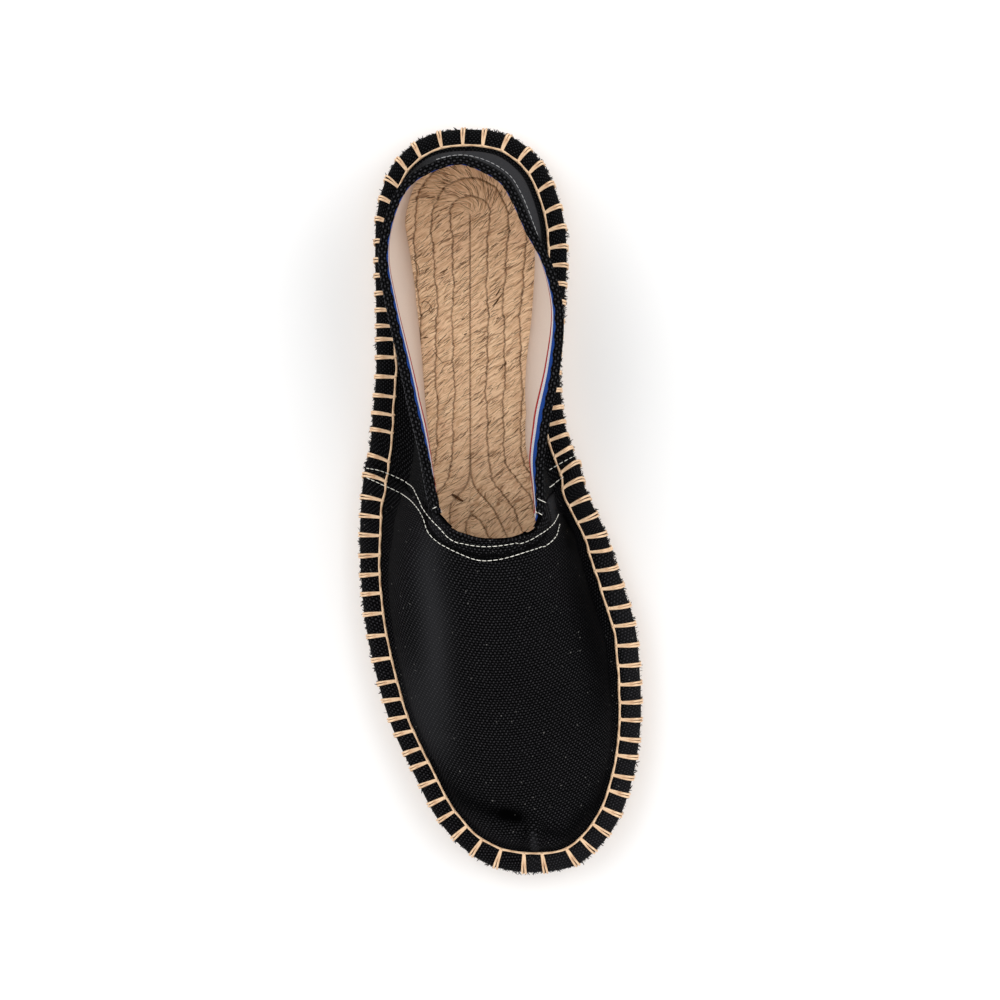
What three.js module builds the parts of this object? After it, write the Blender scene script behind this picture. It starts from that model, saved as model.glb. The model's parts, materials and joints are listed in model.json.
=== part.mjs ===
// Right espadrille, real size, standing empty on its sole.
// Millimetres. +Z is up, the heel is at +Y, the toe at -Y and the big-toe side at +X.
import * as THREE from 'three';

// Driving sizes
const LENGTH = 280;
const BALL_WIDTH = 106;
const WALL_RISE = 48;
const TOE_SPRING = 4;
const WALL = 1.6;
const VAMP_LAP = 0.9;
const GAP = 0.3;
const RUBBER_THICKNESS = 3.2;
const ROPE_THICKNESS = 12.5;
const LANE_WIDTH = 6.45;
const LANE_DEPTH = 0.9;
const BRAID_BULGE = 1.7;
const FLANGE_WIDTH = 6;
const FLANGE_DROP = 8;
const FOOT_RADIUS = 3;
const TAPE_THICKNESS = 0.8;
const TAPE_LEG = 7;
const TAPE_GAP = 0.4;

// Heights that follow from them
const ROPE_BOTTOM = RUBBER_THICKNESS + GAP;
const ROPE_TOP = ROPE_BOTTOM + ROPE_THICKNESS;
const FOLD_HEIGHT = ROPE_TOP + WALL + 1.3 * GAP;
const HEM_HEIGHT = FOLD_HEIGHT - FLANGE_DROP;

// Stations from heel tip to toe tip. Shares of the length: along and topAlong.
// Shares of the ball width: lateral, medial (outline), topLateral, topMedial (wall's end).
// Share of the wall's rise over the fold: height.
const STATION_COLUMNS = ['along', 'lateral', 'medial', 'topAlong', 'topLateral', 'topMedial', 'height'];
const STATIONS = [
  [0.000, -0.116, -0.116, 0.059, -0.113, -0.113, 1.000],
  [0.008, -0.256, 0.025, 0.066, -0.212, -0.025, 0.997],
  [0.030, -0.342, 0.112, 0.081, -0.286, 0.055, 0.989],
  [0.056, -0.395, 0.165, 0.103, -0.331, 0.097, 0.975],
  [0.110, -0.438, 0.219, 0.148, -0.368, 0.150, 0.945],
  [0.164, -0.446, 0.237, 0.189, -0.375, 0.200, 0.915],
  [0.245, -0.442, 0.226, 0.252, -0.347, 0.234, 0.876],
  [0.326, -0.442, 0.212, 0.327, -0.305, 0.230, 0.849],
  [0.380, -0.453, 0.222, 0.396, -0.270, 0.200, 0.838],
  [0.415, -0.460, 0.240, 0.455, -0.235, 0.179, 0.840],
  [0.446, -0.470, 0.270, 0.518, -0.196, 0.177, 0.862],
  [0.487, -0.484, 0.296, 0.538, -0.135, 0.137, 0.900],
  [0.541, -0.491, 0.362, 0.548, -0.062, 0.068, 0.928],
  [0.575, -0.491, 0.392, 0.550, 0.000, 0.000, 0.938],
  [0.620, -0.485, 0.432, 0.600, 0.014, 0.014, 0.862],
  [0.670, -0.470, 0.471, 0.664, 0.031, 0.031, 0.746],
  [0.730, -0.437, 0.488, 0.725, 0.049, 0.049, 0.625],
  [0.800, -0.383, 0.491, 0.786, 0.066, 0.066, 0.506],
  [0.870, -0.296, 0.465, 0.834, 0.078, 0.078, 0.419],
  [0.930, -0.210, 0.411, 0.864, 0.085, 0.085, 0.365],
  [0.970, -0.110, 0.330, 0.880, 0.088, 0.088, 0.335],
  [0.989, -0.020, 0.255, 0.888, 0.089, 0.089, 0.322],
  [0.9968, 0.105, 0.105, 0.893, 0.090, 0.090, 0.312],
];
const CORNER_ROW = 10;
const THROAT_ROW = 13;
const LAST_ROW = STATIONS.length - 1;

// How the wall stands at some stations. Shares of the ball width in from the outline:
// tuckLateral, tuckMedial (where the wall turns up). Shares: turn (0 runs on along the wall,
// 1 lies over to the ridge), rise and crown (lengths of the curve's two handles).
const WALL_COLUMNS = ['row', 'tuckLateral', 'tuckMedial', 'turn', 'rise', 'crown'];
const WALL_ROWS = [
  [0, 0.090, 0.090, 0.00, 0.40, 0.30],
  [4, 0.083, 0.085, 0.00, 0.40, 0.30],
  [6, 0.123, 0.087, 0.00, 0.36, 0.30],
  [8, 0.160, 0.104, 0.05, 0.36, 0.30],
  [10, 0.160, 0.113, 0.40, 0.42, 0.36],
  [12, 0.127, 0.108, 0.92, 0.52, 0.55],
  [14, 0.108, 0.118, 1.00, 0.58, 0.62],
  [16, 0.099, 0.113, 1.00, 0.60, 0.62],
  [18, 0.090, 0.090, 1.00, 0.60, 0.62],
  [22, 0.085, 0.085, 1.00, 0.60, 0.60],
];

// Flange of the canvas over the rope's edge: shares of its width and of its drop
const FLANGE_SHAPE = [[0.02, 1.00], [0.00, 0.62], [0.18, 0.24], [0.55, 0.04], [1.00, 0.00]];
const FLANGE_PROFILE = FLANGE_SHAPE.map(([share, drop]) => (
  [share * FLANGE_WIDTH, FOLD_HEIGHT - drop * FLANGE_DROP]
));
// Lower braid beside the hem: shares of its bulge and of its height up to the hem
const BRAID_SHAPE = [[1.00, 0.00], [0.40, 0.18], [0.05, 0.44], [0.30, 0.72], [1.00, 0.89]];
const BRAID_HEIGHT = HEM_HEIGHT - ROPE_BOTTOM;
const ROPE_SIDE = BRAID_SHAPE.map(([share, up]) => (
  [GAP + share * BRAID_BULGE, ROPE_BOTTOM + up * BRAID_HEIGHT]
));
// Rubber sheet's edge: millimetres in from the outline, share of its thickness
const RUBBER_EDGE = [[2.6, 0.00], [1.9, 0.22], [1.6, 0.88], [2.0, 1.00]];

// Mesh steps, and how far before the corner station the tape ends, in stations
const COLLAR_STEPS = 26;
const THROAT_STEPS = 8;
const RIDGE_STEPS = 19;
const TAPE_END = 0.15;
const OUTER_WALL_STEPS = 8;
const INNER_WALL_STEPS = 5;
const FOOT_STEPS = 3;
const INNER_FOOT_STEPS = 2;
const ISLAND_LANES = 3;

const LATERAL = -1;
const MEDIAL = 1;

// Lanes of rope between the outline and the middle of the waist, the narrowest place
const waistWidths = STATIONS.slice(4, CORNER_ROW).map((row) => row[2] - row[1]);
const ROPE_LANES = Math.floor((0.5 * BALL_WIDTH * Math.min(...waistWidths)) / LANE_WIDTH);

function column(columns, row, name) {
  return row[columns.indexOf(name)];
}

// Point of one station, as an outline point on the floor
function outlinePoint(row, side) {
  const across = column(STATION_COLUMNS, row, side === LATERAL ? 'lateral' : 'medial');
  return new THREE.Vector3(across * BALL_WIDTH, (0.5 - column(STATION_COLUMNS, row, 'along')) * LENGTH, 0);
}

// Point of one station where the wall ends: collar, throat edge or ridge
function topPoint(row, side) {
  const across = column(STATION_COLUMNS, row, side === LATERAL ? 'topLateral' : 'topMedial');
  const along = column(STATION_COLUMNS, row, 'topAlong');
  const height = column(STATION_COLUMNS, row, 'height');
  return new THREE.Vector3(across * BALL_WIDTH, (0.5 - along) * LENGTH, FOLD_HEIGHT + height * WALL_RISE);
}

function bothSides(first, last, point) {
  const medial = STATIONS.slice(first, last + 1).reverse().map((row) => point(row, MEDIAL));
  const lateral = STATIONS.slice(first, last + 1).map((row) => point(row, LATERAL));
  return { medial, lateral };
}

function smooth(points, closed = false) {
  return new THREE.CatmullRomCurve3(points, closed, 'centripetal');
}

const outlineSides = bothSides(0, LAST_ROW, outlinePoint);
const OUTLINE = smooth([...outlineSides.lateral, ...outlineSides.medial.slice(1, -1)], true);
const collarSides = bothSides(0, CORNER_ROW, topPoint);
const COLLAR = smooth([...collarSides.medial, ...collarSides.lateral.slice(1)]);
const throatSides = bothSides(CORNER_ROW, THROAT_ROW, topPoint);
const THROAT = smooth([...throatSides.lateral, ...throatSides.medial.slice(1)]);
const RIDGE = smooth(STATIONS.slice(THROAT_ROW).map((row) => topPoint(row, MEDIAL)));

// A place round the shoe is a side and a station number that may lie between two rows
function outlineShare(place) {
  const turns = place.row / (2 * LAST_ROW);
  return place.side === LATERAL ? turns : (1 - turns) % 1;
}

function outlineAt(place) {
  return OUTLINE.getPoint(outlineShare(place));
}

function inwardAt(place) {
  const step = 0.0005;
  const share = outlineShare(place);
  const before = OUTLINE.getPoint((share - step + 1) % 1);
  const after = OUTLINE.getPoint((share + step) % 1);
  const run = after.sub(before).normalize();
  return new THREE.Vector3(-run.y, run.x, 0);
}

function endAt(place) {
  if (place.row <= CORNER_ROW) {
    return COLLAR.getPoint(0.5 - 0.5 * place.side * (place.row / CORNER_ROW));
  }
  if (place.row <= THROAT_ROW) {
    const share = (place.row - CORNER_ROW) / (THROAT_ROW - CORNER_ROW);
    return THROAT.getPoint(place.side === LATERAL ? 0.5 * share : 1 - 0.5 * share);
  }
  return RIDGE.getPoint((place.row - THROAT_ROW) / (LAST_ROW - THROAT_ROW));
}

// Value of a wall column at a station number, eased between the rows of the table
function wallValue(name, stationNumber) {
  const upper = Math.max(1, WALL_ROWS.findIndex((row) => row[0] >= stationNumber));
  const [low, high] = [WALL_ROWS[upper - 1], WALL_ROWS[upper]];
  const share = (stationNumber - low[0]) / (high[0] - low[0]);
  const eased = share * share * (3 - 2 * share);
  return THREE.MathUtils.lerp(column(WALL_COLUMNS, low, name), column(WALL_COLUMNS, high, name), eased);
}

function springAt(y) {
  const start = -0.26 * LENGTH;
  const share = Math.max(0, (start - y) / (0.5 * LENGTH + start));
  return TOE_SPRING * share * share;
}

// A rib runs from the outline towards the wall's end, straight in plan
function ribAt(place) {
  const foot = outlineAt(place);
  const inward = inwardAt(place);
  const end = endAt(place);
  const run = end.clone().sub(foot).setZ(0);
  const shortestRun = 20;
  const tangent = new THREE.Vector3(inward.y, -inward.x, 0);
  const slant = run.dot(tangent) / Math.max(shortestRun, run.dot(inward));
  const direction = inward.clone().addScaledVector(tangent, slant);
  return { place, foot, direction, end };
}

function onRib(rib, inset, height) {
  return rib.foot.clone().addScaledVector(rib.direction, inset).setZ(height);
}

// Slope of the ridge under the wall's end, as rise per millimetre towards the heel
function ridgeSlope(place) {
  const last = RIDGE.points.length - 1;
  const share = Math.max(0, (place.row - THROAT_ROW) / last);
  const tangent = RIDGE.getTangent(Math.min(1, share));
  return tangent.z / tangent.y;
}

// Handles of the curve from the wall's foot to its end
function wallHandles(rib) {
  const { place, end } = rib;
  const tuck = BALL_WIDTH * wallValue(place.side === LATERAL ? 'tuckLateral' : 'tuckMedial', place.row);
  const foot = onRib(rib, tuck, FOLD_HEIGHT + FOOT_RADIUS);
  const chord = end.clone().sub(foot);
  const reach = chord.length();
  const over = new THREE.Vector3(chord.x, chord.y, 0).normalize();
  over.z = ridgeSlope(place) * over.y;
  const turn = wallValue('turn', place.row);
  const arrival = chord.clone().normalize().multiplyScalar(1 - turn).addScaledVector(over, turn).normalize();
  const upLength = chord.z * wallValue('rise', place.row);
  const overLength = THREE.MathUtils.lerp(reach, Math.hypot(chord.x, chord.y), turn);
  const lower = foot.clone().setZ(foot.z + upLength);
  const upper = end.clone().addScaledVector(arrival, -overLength * wallValue('crown', place.row));
  return { foot, lower, upper, end };
}

function wallPoint(handles, share) {
  const curve = new THREE.CubicBezierCurve3(handles.foot, handles.lower, handles.upper, handles.end);
  return curve.getPoint(share);
}

function footPoint(rib, handles, share) {
  const fold = onRib(rib, FLANGE_WIDTH, FOLD_HEIGHT);
  const knee = handles.foot.clone().setZ(FOLD_HEIGHT + 0.1);
  return new THREE.QuadraticBezierCurve3(fold, knee, handles.foot).getPoint(share);
}

function lifted(point) {
  return point.setZ(point.z + springAt(point.y));
}

// Outer face of the quarter at one place, from the hem up to the wall's end
function outerColumn(place) {
  const rib = ribAt(place);
  const handles = wallHandles(rib);
  const points = FLANGE_PROFILE.map(([inset, height]) => onRib(rib, inset, height));
  for (let step = 1; step <= FOOT_STEPS; step += 1) {
    points.push(footPoint(rib, handles, step / FOOT_STEPS));
  }
  for (let step = 1; step <= OUTER_WALL_STEPS; step += 1) {
    points.push(wallPoint(handles, step / OUTER_WALL_STEPS));
  }
  return points.map(lifted);
}

// Places round the shoe in order: lateral from heel to toe, then medial back to the heel
function placesAround() {
  const steps = (first, last, count) => (
    Array.from({ length: count }, (_, i) => first + ((last - first) * i) / count)
  );
  const rows = [
    ...steps(0, CORNER_ROW, COLLAR_STEPS),
    CORNER_ROW - TAPE_END,
    ...steps(CORNER_ROW, THROAT_ROW, THROAT_STEPS),
    ...steps(THROAT_ROW, LAST_ROW, RIDGE_STEPS),
  ];
  const lateral = rows.map((row) => ({ side: LATERAL, row }));
  const medial = [...rows.slice(1), LAST_ROW].reverse().map((row) => ({ side: MEDIAL, row }));
  return [...lateral, ...medial];
}

const PLACES = placesAround();

// Collects points and faces; points at one position are one vertex
class Surface {
  constructor() {
    this.points = [];
    this.faces = [];
    this.index = new Map();
  }

  vertex(point) {
    const key = [point.x, point.y, point.z].map((value) => value.toFixed(3)).join(' ');
    if (!this.index.has(key)) {
      this.index.set(key, this.points.length);
      this.points.push(point.clone());
    }
    return this.index.get(key);
  }

  triangle(a, b, c) {
    if (a !== b && b !== c && c !== a) {
      this.faces.push([a, b, c]);
    }
  }

  quad(a, b, c, d) {
    const first = this.points[a].distanceToSquared(this.points[c]);
    const second = this.points[b].distanceToSquared(this.points[d]);
    if (first <= second) {
      this.triangle(a, b, c);
      this.triangle(a, c, d);
    } else {
      this.triangle(a, b, d);
      this.triangle(b, c, d);
    }
  }

  strip(low, high) {
    for (let i = 0; i < low.length - 1; i += 1) {
      this.quad(low[i], low[i + 1], high[i + 1], high[i]);
    }
  }

  normals() {
    const sums = this.points.map(() => new THREE.Vector3());
    for (const face of this.faces) {
      const [a, b, c] = face.map((id) => this.points[id]);
      const cross = b.clone().sub(a).cross(c.clone().sub(a));
      face.forEach((id) => sums[id].add(cross));
    }
    return sums.map((sum) => sum.normalize());
  }

  mesh(name, colour, roughness) {
    const geometry = new THREE.BufferGeometry();
    const positions = this.points.flatMap((point) => point.toArray());
    geometry.setAttribute('position', new THREE.Float32BufferAttribute(positions, 3));
    geometry.setIndex(this.faces.flat());
    const material = new THREE.MeshStandardMaterial({ color: colour, roughness, metalness: 0 });
    const mesh = new THREE.Mesh(geometry, material);
    mesh.name = name;
    return mesh;
  }
}

function ring(list) {
  return [...list, list[0]];
}

// Base face of the canvas and its normals, by place and by step up the wall
function baseFace() {
  const surface = new Surface();
  const ids = PLACES.map((place) => outerColumn(place).map((point) => surface.vertex(point)));
  for (let i = 0; i < ids.length; i += 1) {
    const next = ids[(i + 1) % ids.length];
    for (let step = 0; step < next.length - 1; step += 1) {
      surface.quad(ids[i][step], next[step], next[step + 1], ids[i][step + 1]);
    }
  }
  return { surface, ids, normals: surface.normals() };
}

const BASE = baseFace();

function basePoint(column, step, distance) {
  const id = BASE.ids[column][step];
  return BASE.surface.points[id].clone().addScaledVector(BASE.normals[id], distance);
}

// Column numbers of the two places where the vamp's rear edge crosses the wall
const LATERAL_CORNER = COLLAR_STEPS + 1;
const MEDIAL_CORNER = PLACES.length - LATERAL_CORNER;
const FLANGE_LAST = FLANGE_PROFILE.length - 1;
const WALL_FIRST = FLANGE_LAST + FOOT_STEPS;
const TOP_STEP = WALL_FIRST + OUTER_WALL_STEPS;

// Steps of the outer face that the inner face follows
function innerSteps() {
  const steps = Array.from({ length: FLANGE_LAST + 1 }, (_, step) => step);
  for (let step = 1; step <= INNER_FOOT_STEPS; step += 1) {
    steps.push(FLANGE_LAST + Math.round((step * FOOT_STEPS) / INNER_FOOT_STEPS));
  }
  for (let step = 1; step <= INNER_WALL_STEPS; step += 1) {
    steps.push(WALL_FIRST + Math.round((step * OUTER_WALL_STEPS) / INNER_WALL_STEPS));
  }
  return steps;
}

// Hollow canvas upper: one wall, open at the collar and underneath, its vamp a layer higher
function canvasUpper() {
  const surface = new Surface();
  const count = PLACES.length;
  const allSteps = Array.from({ length: TOP_STEP + 1 }, (_, step) => step);
  const face = (number, steps, distance) => (
    steps.map((step) => surface.vertex(basePoint(number % count, step, distance)))
  );
  const isVamp = (number) => number >= LATERAL_CORNER && number < MEDIAL_CORNER;
  for (let i = 0; i < count; i += 1) {
    const outside = isVamp(i) ? VAMP_LAP : 0;
    const [outer, nextOuter] = [face(i, allSteps, outside), face(i + 1, allSteps, outside)];
    const [inner, nextInner] = [face(i, innerSteps(), -WALL), face(i + 1, innerSteps(), -WALL)];
    surface.strip(nextOuter, outer);
    surface.strip(inner, nextInner);
    surface.quad(outer[0], inner[0], nextInner[0], nextOuter[0]);
    const onRidge = PLACES[i].row >= THROAT_ROW && PLACES[(i + 1) % count].row >= THROAT_ROW;
    if (!onRidge) {
      surface.quad(nextOuter.at(-1), nextInner.at(-1), inner.at(-1), outer.at(-1));
    }
  }
  const lapEdge = (number) => [face(number, allSteps, 0), face(number, allSteps, VAMP_LAP)];
  const [lateralLow, lateralHigh] = lapEdge(LATERAL_CORNER);
  const lateralInner = face(LATERAL_CORNER, innerSteps(), -WALL);
  surface.strip(lateralHigh, lateralLow);
  surface.triangle(lateralLow[0], lateralInner[0], lateralHigh[0]);
  surface.triangle(lateralInner.at(-1), lateralLow.at(-1), lateralHigh.at(-1));
  const [medialLow, medialHigh] = lapEdge(MEDIAL_CORNER);
  const medialInner = face(MEDIAL_CORNER, innerSteps(), -WALL);
  surface.strip(medialLow, medialHigh);
  surface.triangle(medialLow[0], medialHigh[0], medialInner[0]);
  surface.triangle(medialInner.at(-1), medialHigh.at(-1), medialLow.at(-1));
  return surface.mesh('canvas_upper', 0x1c1b1c, 0.92);
}

// Ring of points at an inset from the outline, at a height
function insetRing(surface, places, inset, height) {
  return places.map((place) => {
    const point = outlineAt(place).addScaledVector(inwardAt(place), inset).setZ(height);
    return surface.vertex(lifted(point));
  });
}

// Closes a ring across the sole with strips from the lateral to the medial side
function closeAcross(surface, ids, facingUp) {
  const half = ids.length / 2;
  for (let i = 0; i < half; i += 1) {
    const [a, b] = [ids[i], ids[i + 1]];
    const [c, d] = [ids[(ids.length - i - 1) % ids.length], ids[(ids.length - i) % ids.length]];
    if (facingUp) {
      surface.quad(a, b, c, d);
    } else {
      surface.quad(d, c, b, a);
    }
  }
}

function joinRings(surface, low, high) {
  surface.strip(ring(low), ring(high));
}

// Joins a ring to one that has every second point
function joinHalved(surface, fine, coarse) {
  const count = fine.length;
  for (let i = 0; i < coarse.length; i += 1) {
    const [a, b, c] = [fine[2 * i], fine[2 * i + 1], fine[(2 * i + 2) % count]];
    const [d, e] = [coarse[i], coarse[(i + 1) % coarse.length]];
    surface.triangle(a, b, d);
    surface.triangle(b, e, d);
    surface.triangle(b, c, e);
  }
}

// Flange profile moved inward and down by the wall and the gap
function ropeShoulder() {
  const away = WALL + GAP;
  return FLANGE_PROFILE.map(([inset, height], i) => {
    const before = FLANGE_PROFILE[Math.max(0, i - 1)];
    const after = FLANGE_PROFILE[Math.min(FLANGE_LAST, i + 1)];
    const run = Math.hypot(after[0] - before[0], after[1] - before[1]);
    return [inset + (away * (after[1] - before[1])) / run, height - (away * (after[0] - before[0])) / run];
  });
}

// Centre line under the foot that the rope's lanes close on
function coreAt(place) {
  const heelCore = 0.116 * LENGTH;
  const toeCore = 0.17 * LENGTH;
  const lateral = outlineAt({ side: LATERAL, row: place.row });
  const medial = outlineAt({ side: MEDIAL, row: place.row });
  const middle = lateral.add(medial).multiplyScalar(0.5);
  const y = THREE.MathUtils.clamp(middle.y, toeCore - 0.5 * LENGTH, 0.5 * LENGTH - heelCore);
  return new THREE.Vector3(middle.x, y + (middle.y - y) * 0.05, 0);
}

function islandRing(surface, places, rim, share, height) {
  return places.map((place, i) => {
    const outer = surface.points[rim[i]].clone().setZ(0);
    return surface.vertex(lifted(outer.lerp(coreAt(place), share).setZ(height)));
  });
}

// Braided sole: the rope is wound flat in lanes, which the foot rests on
function juteSole() {
  const surface = new Surface();
  const shoulder = ropeShoulder();
  let rim = insetRing(surface, PLACES, ...ROPE_SIDE[0]);
  closeAcross(surface, rim, false);
  for (const [inset, height] of [...ROPE_SIDE.slice(1), ...shoulder]) {
    const next = insetRing(surface, PLACES, inset, height);
    joinRings(surface, rim, next);
    rim = next;
  }
  const places = PLACES.filter((_, i) => i % 2 === 0);
  const laneRing = (inset, height) => insetRing(surface, places, inset, height);
  let coarse = laneRing(1.25 * LANE_WIDTH, ROPE_TOP);
  joinHalved(surface, rim, coarse);
  for (let lane = 1; lane < ROPE_LANES; lane += 1) {
    const groove = laneRing((lane + 0.5) * LANE_WIDTH, ROPE_TOP - LANE_DEPTH);
    joinRings(surface, coarse, groove);
    coarse = laneRing((lane + 0.8) * LANE_WIDTH, ROPE_TOP);
    joinRings(surface, groove, coarse);
    if (lane < ROPE_LANES - 1) {
      const crownEnd = laneRing((lane + 1.2) * LANE_WIDTH, ROPE_TOP);
      joinRings(surface, coarse, crownEnd);
      coarse = crownEnd;
    }
  }
  const rimOfIsland = coarse;
  for (let lane = 1; lane < ISLAND_LANES; lane += 1) {
    const middle = (lane - 0.5) / ISLAND_LANES;
    const groove = islandRing(surface, places, rimOfIsland, middle, ROPE_TOP - LANE_DEPTH);
    joinRings(surface, coarse, groove);
    coarse = islandRing(surface, places, rimOfIsland, lane / ISLAND_LANES, ROPE_TOP);
    joinRings(surface, groove, coarse);
  }
  closeAcross(surface, coarse, true);
  return surface.mesh('jute_sole', 0xc9a377, 0.95);
}

// Thin rubber sheet that the shoe stands on
function rubberOutsole() {
  const surface = new Surface();
  const profile = RUBBER_EDGE.map(([inset, share]) => [inset, share * RUBBER_THICKNESS]);
  let rim = insetRing(surface, PLACES, ...profile[0]);
  closeAcross(surface, rim, false);
  for (const [inset, height] of profile.slice(1)) {
    const next = insetRing(surface, PLACES, inset, height);
    joinRings(surface, rim, next);
    rim = next;
  }
  closeAcross(surface, rim, true);
  return surface.mesh('rubber_outsole', 0xa88460, 0.8);
}

// Section of the tape over the wall's top edge: out from the wall's outer face, down the wall
function tapeSection() {
  const outside = TAPE_GAP + TAPE_THICKNESS;
  const backFace = -WALL - TAPE_GAP;
  const inside = backFace - TAPE_THICKNESS;
  return [
    [TAPE_GAP, TAPE_LEG], [TAPE_GAP, 0.5 * TAPE_LEG], [TAPE_GAP, -TAPE_GAP],
    [backFace, -TAPE_GAP], [backFace, 0.5 * TAPE_LEG], [backFace, TAPE_LEG],
    [inside, TAPE_LEG], [inside, 0],
    [-0.5 * WALL, -TAPE_GAP - TAPE_THICKNESS],
    [outside, 0], [outside, TAPE_LEG],
  ];
}

// Outer face of the wall a distance down from its top edge, with its normal and way up
function downTheWall(number, down) {
  let step = TOP_STEP;
  let left = down;
  let span = basePoint(number, step, 0).distanceTo(basePoint(number, step - 1, 0));
  while (left > span) {
    left -= span;
    step -= 1;
    span = basePoint(number, step, 0).distanceTo(basePoint(number, step - 1, 0));
  }
  const share = left / span;
  const point = basePoint(number, step, 0).lerp(basePoint(number, step - 1, 0), share);
  const outer = basePoint(number, step, 1).lerp(basePoint(number, step - 1, 1), share);
  return { point, normal: outer.sub(point).normalize() };
}

function tapeRing(surface, number) {
  const top = downTheWall(number, 0);
  const up = top.point.clone().sub(downTheWall(number, 1).point).normalize();
  return tapeSection().map(([out, down]) => {
    const { point, normal } = downTheWall(number, Math.max(0, down));
    const place = point.clone().addScaledVector(normal, out).addScaledVector(up, Math.max(0, -down));
    return surface.vertex(place);
  });
}

// Ribbed tape folded over the quarter's top edge, from one throat corner round the heel
function collarBinding() {
  const surface = new Surface();
  const count = PLACES.length;
  const numbers = [];
  for (let number = MEDIAL_CORNER + 1; number < count + LATERAL_CORNER; number += 1) {
    numbers.push(number % count);
  }
  const rings = numbers.map((number) => tapeRing(surface, number));
  for (let i = 0; i < rings.length - 1; i += 1) {
    surface.strip(ring(rings[i]), ring(rings[i + 1]));
  }
  const cap = (ids, flip) => {
    const outerLeg = [[0, 10, 1], [1, 10, 9], [1, 9, 2]];
    const bridge = [[2, 9, 8], [2, 8, 3], [3, 8, 7]];
    const innerLeg = [[3, 7, 4], [4, 7, 6], [4, 6, 5]];
    for (const corner of [...outerLeg, ...bridge, ...innerLeg]) {
      const [a, b, c] = corner.map((i) => ids[i]);
      surface.triangle(a, flip ? c : b, flip ? b : c);
    }
  };
  cap(rings[0], false);
  cap(rings.at(-1), true);
  return surface.mesh('collar_binding', 0x222023, 0.9);
}

const espadrille = new THREE.Group();
espadrille.name = 'espadrille';
espadrille.add(rubberOutsole(), juteSole(), canvasUpper(), collarBinding());

export default espadrille;
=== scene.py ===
"""Right canvas espadrille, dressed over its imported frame. Lengths are in millimetres until a mesh is made."""

import json
import logging
import math
from dataclasses import dataclass, field
from enum import Enum

import bpy
import numpy as np
from mathutils import Matrix, Vector
from mathutils.bvhtree import BVHTree
from mathutils.kdtree import KDTree

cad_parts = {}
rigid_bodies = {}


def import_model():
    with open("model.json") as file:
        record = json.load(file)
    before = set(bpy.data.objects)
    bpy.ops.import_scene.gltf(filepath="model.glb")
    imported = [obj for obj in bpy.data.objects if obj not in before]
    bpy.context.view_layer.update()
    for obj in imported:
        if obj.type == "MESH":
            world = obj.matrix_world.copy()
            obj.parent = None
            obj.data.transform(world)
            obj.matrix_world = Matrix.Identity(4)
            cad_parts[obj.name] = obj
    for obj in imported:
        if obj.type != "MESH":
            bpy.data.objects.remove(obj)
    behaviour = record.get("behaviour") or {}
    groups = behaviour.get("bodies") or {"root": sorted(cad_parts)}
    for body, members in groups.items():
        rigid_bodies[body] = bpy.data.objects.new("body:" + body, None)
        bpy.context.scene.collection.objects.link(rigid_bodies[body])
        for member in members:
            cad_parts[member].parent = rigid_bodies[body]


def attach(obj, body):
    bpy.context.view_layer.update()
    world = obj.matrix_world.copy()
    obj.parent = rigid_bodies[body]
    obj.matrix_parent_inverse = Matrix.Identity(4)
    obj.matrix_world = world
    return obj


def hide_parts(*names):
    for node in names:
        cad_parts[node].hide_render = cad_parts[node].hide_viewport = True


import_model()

LOG = logging.getLogger("espadrille")
MM = 0.001
BODY = "root"
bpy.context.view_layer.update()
Array = np.ndarray
Polyline = list[tuple[float, float]]
Colour = tuple[float, float, float]
Material = bpy.types.Material
Object = bpy.types.Object
Socket = bpy.types.NodeSocket

LENGTH = 280.0
BALL_WIDTH = 106.0
WALL_RISE = 48.0
TOE_SPRING = 4.0
WALL = 1.6
VAMP_LAP = 0.9
GAP = 0.3
ROPE_BOTTOM = 3.5
ROPE_TOP = 16.0
FOLD_HEIGHT = ROPE_TOP + WALL + 1.3 * GAP
FLANGE_WIDTH = 6.0
FLANGE_DROP = 8.0
FOOT_RADIUS = 3.0
LANE_WIDTH = 6.4

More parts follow.
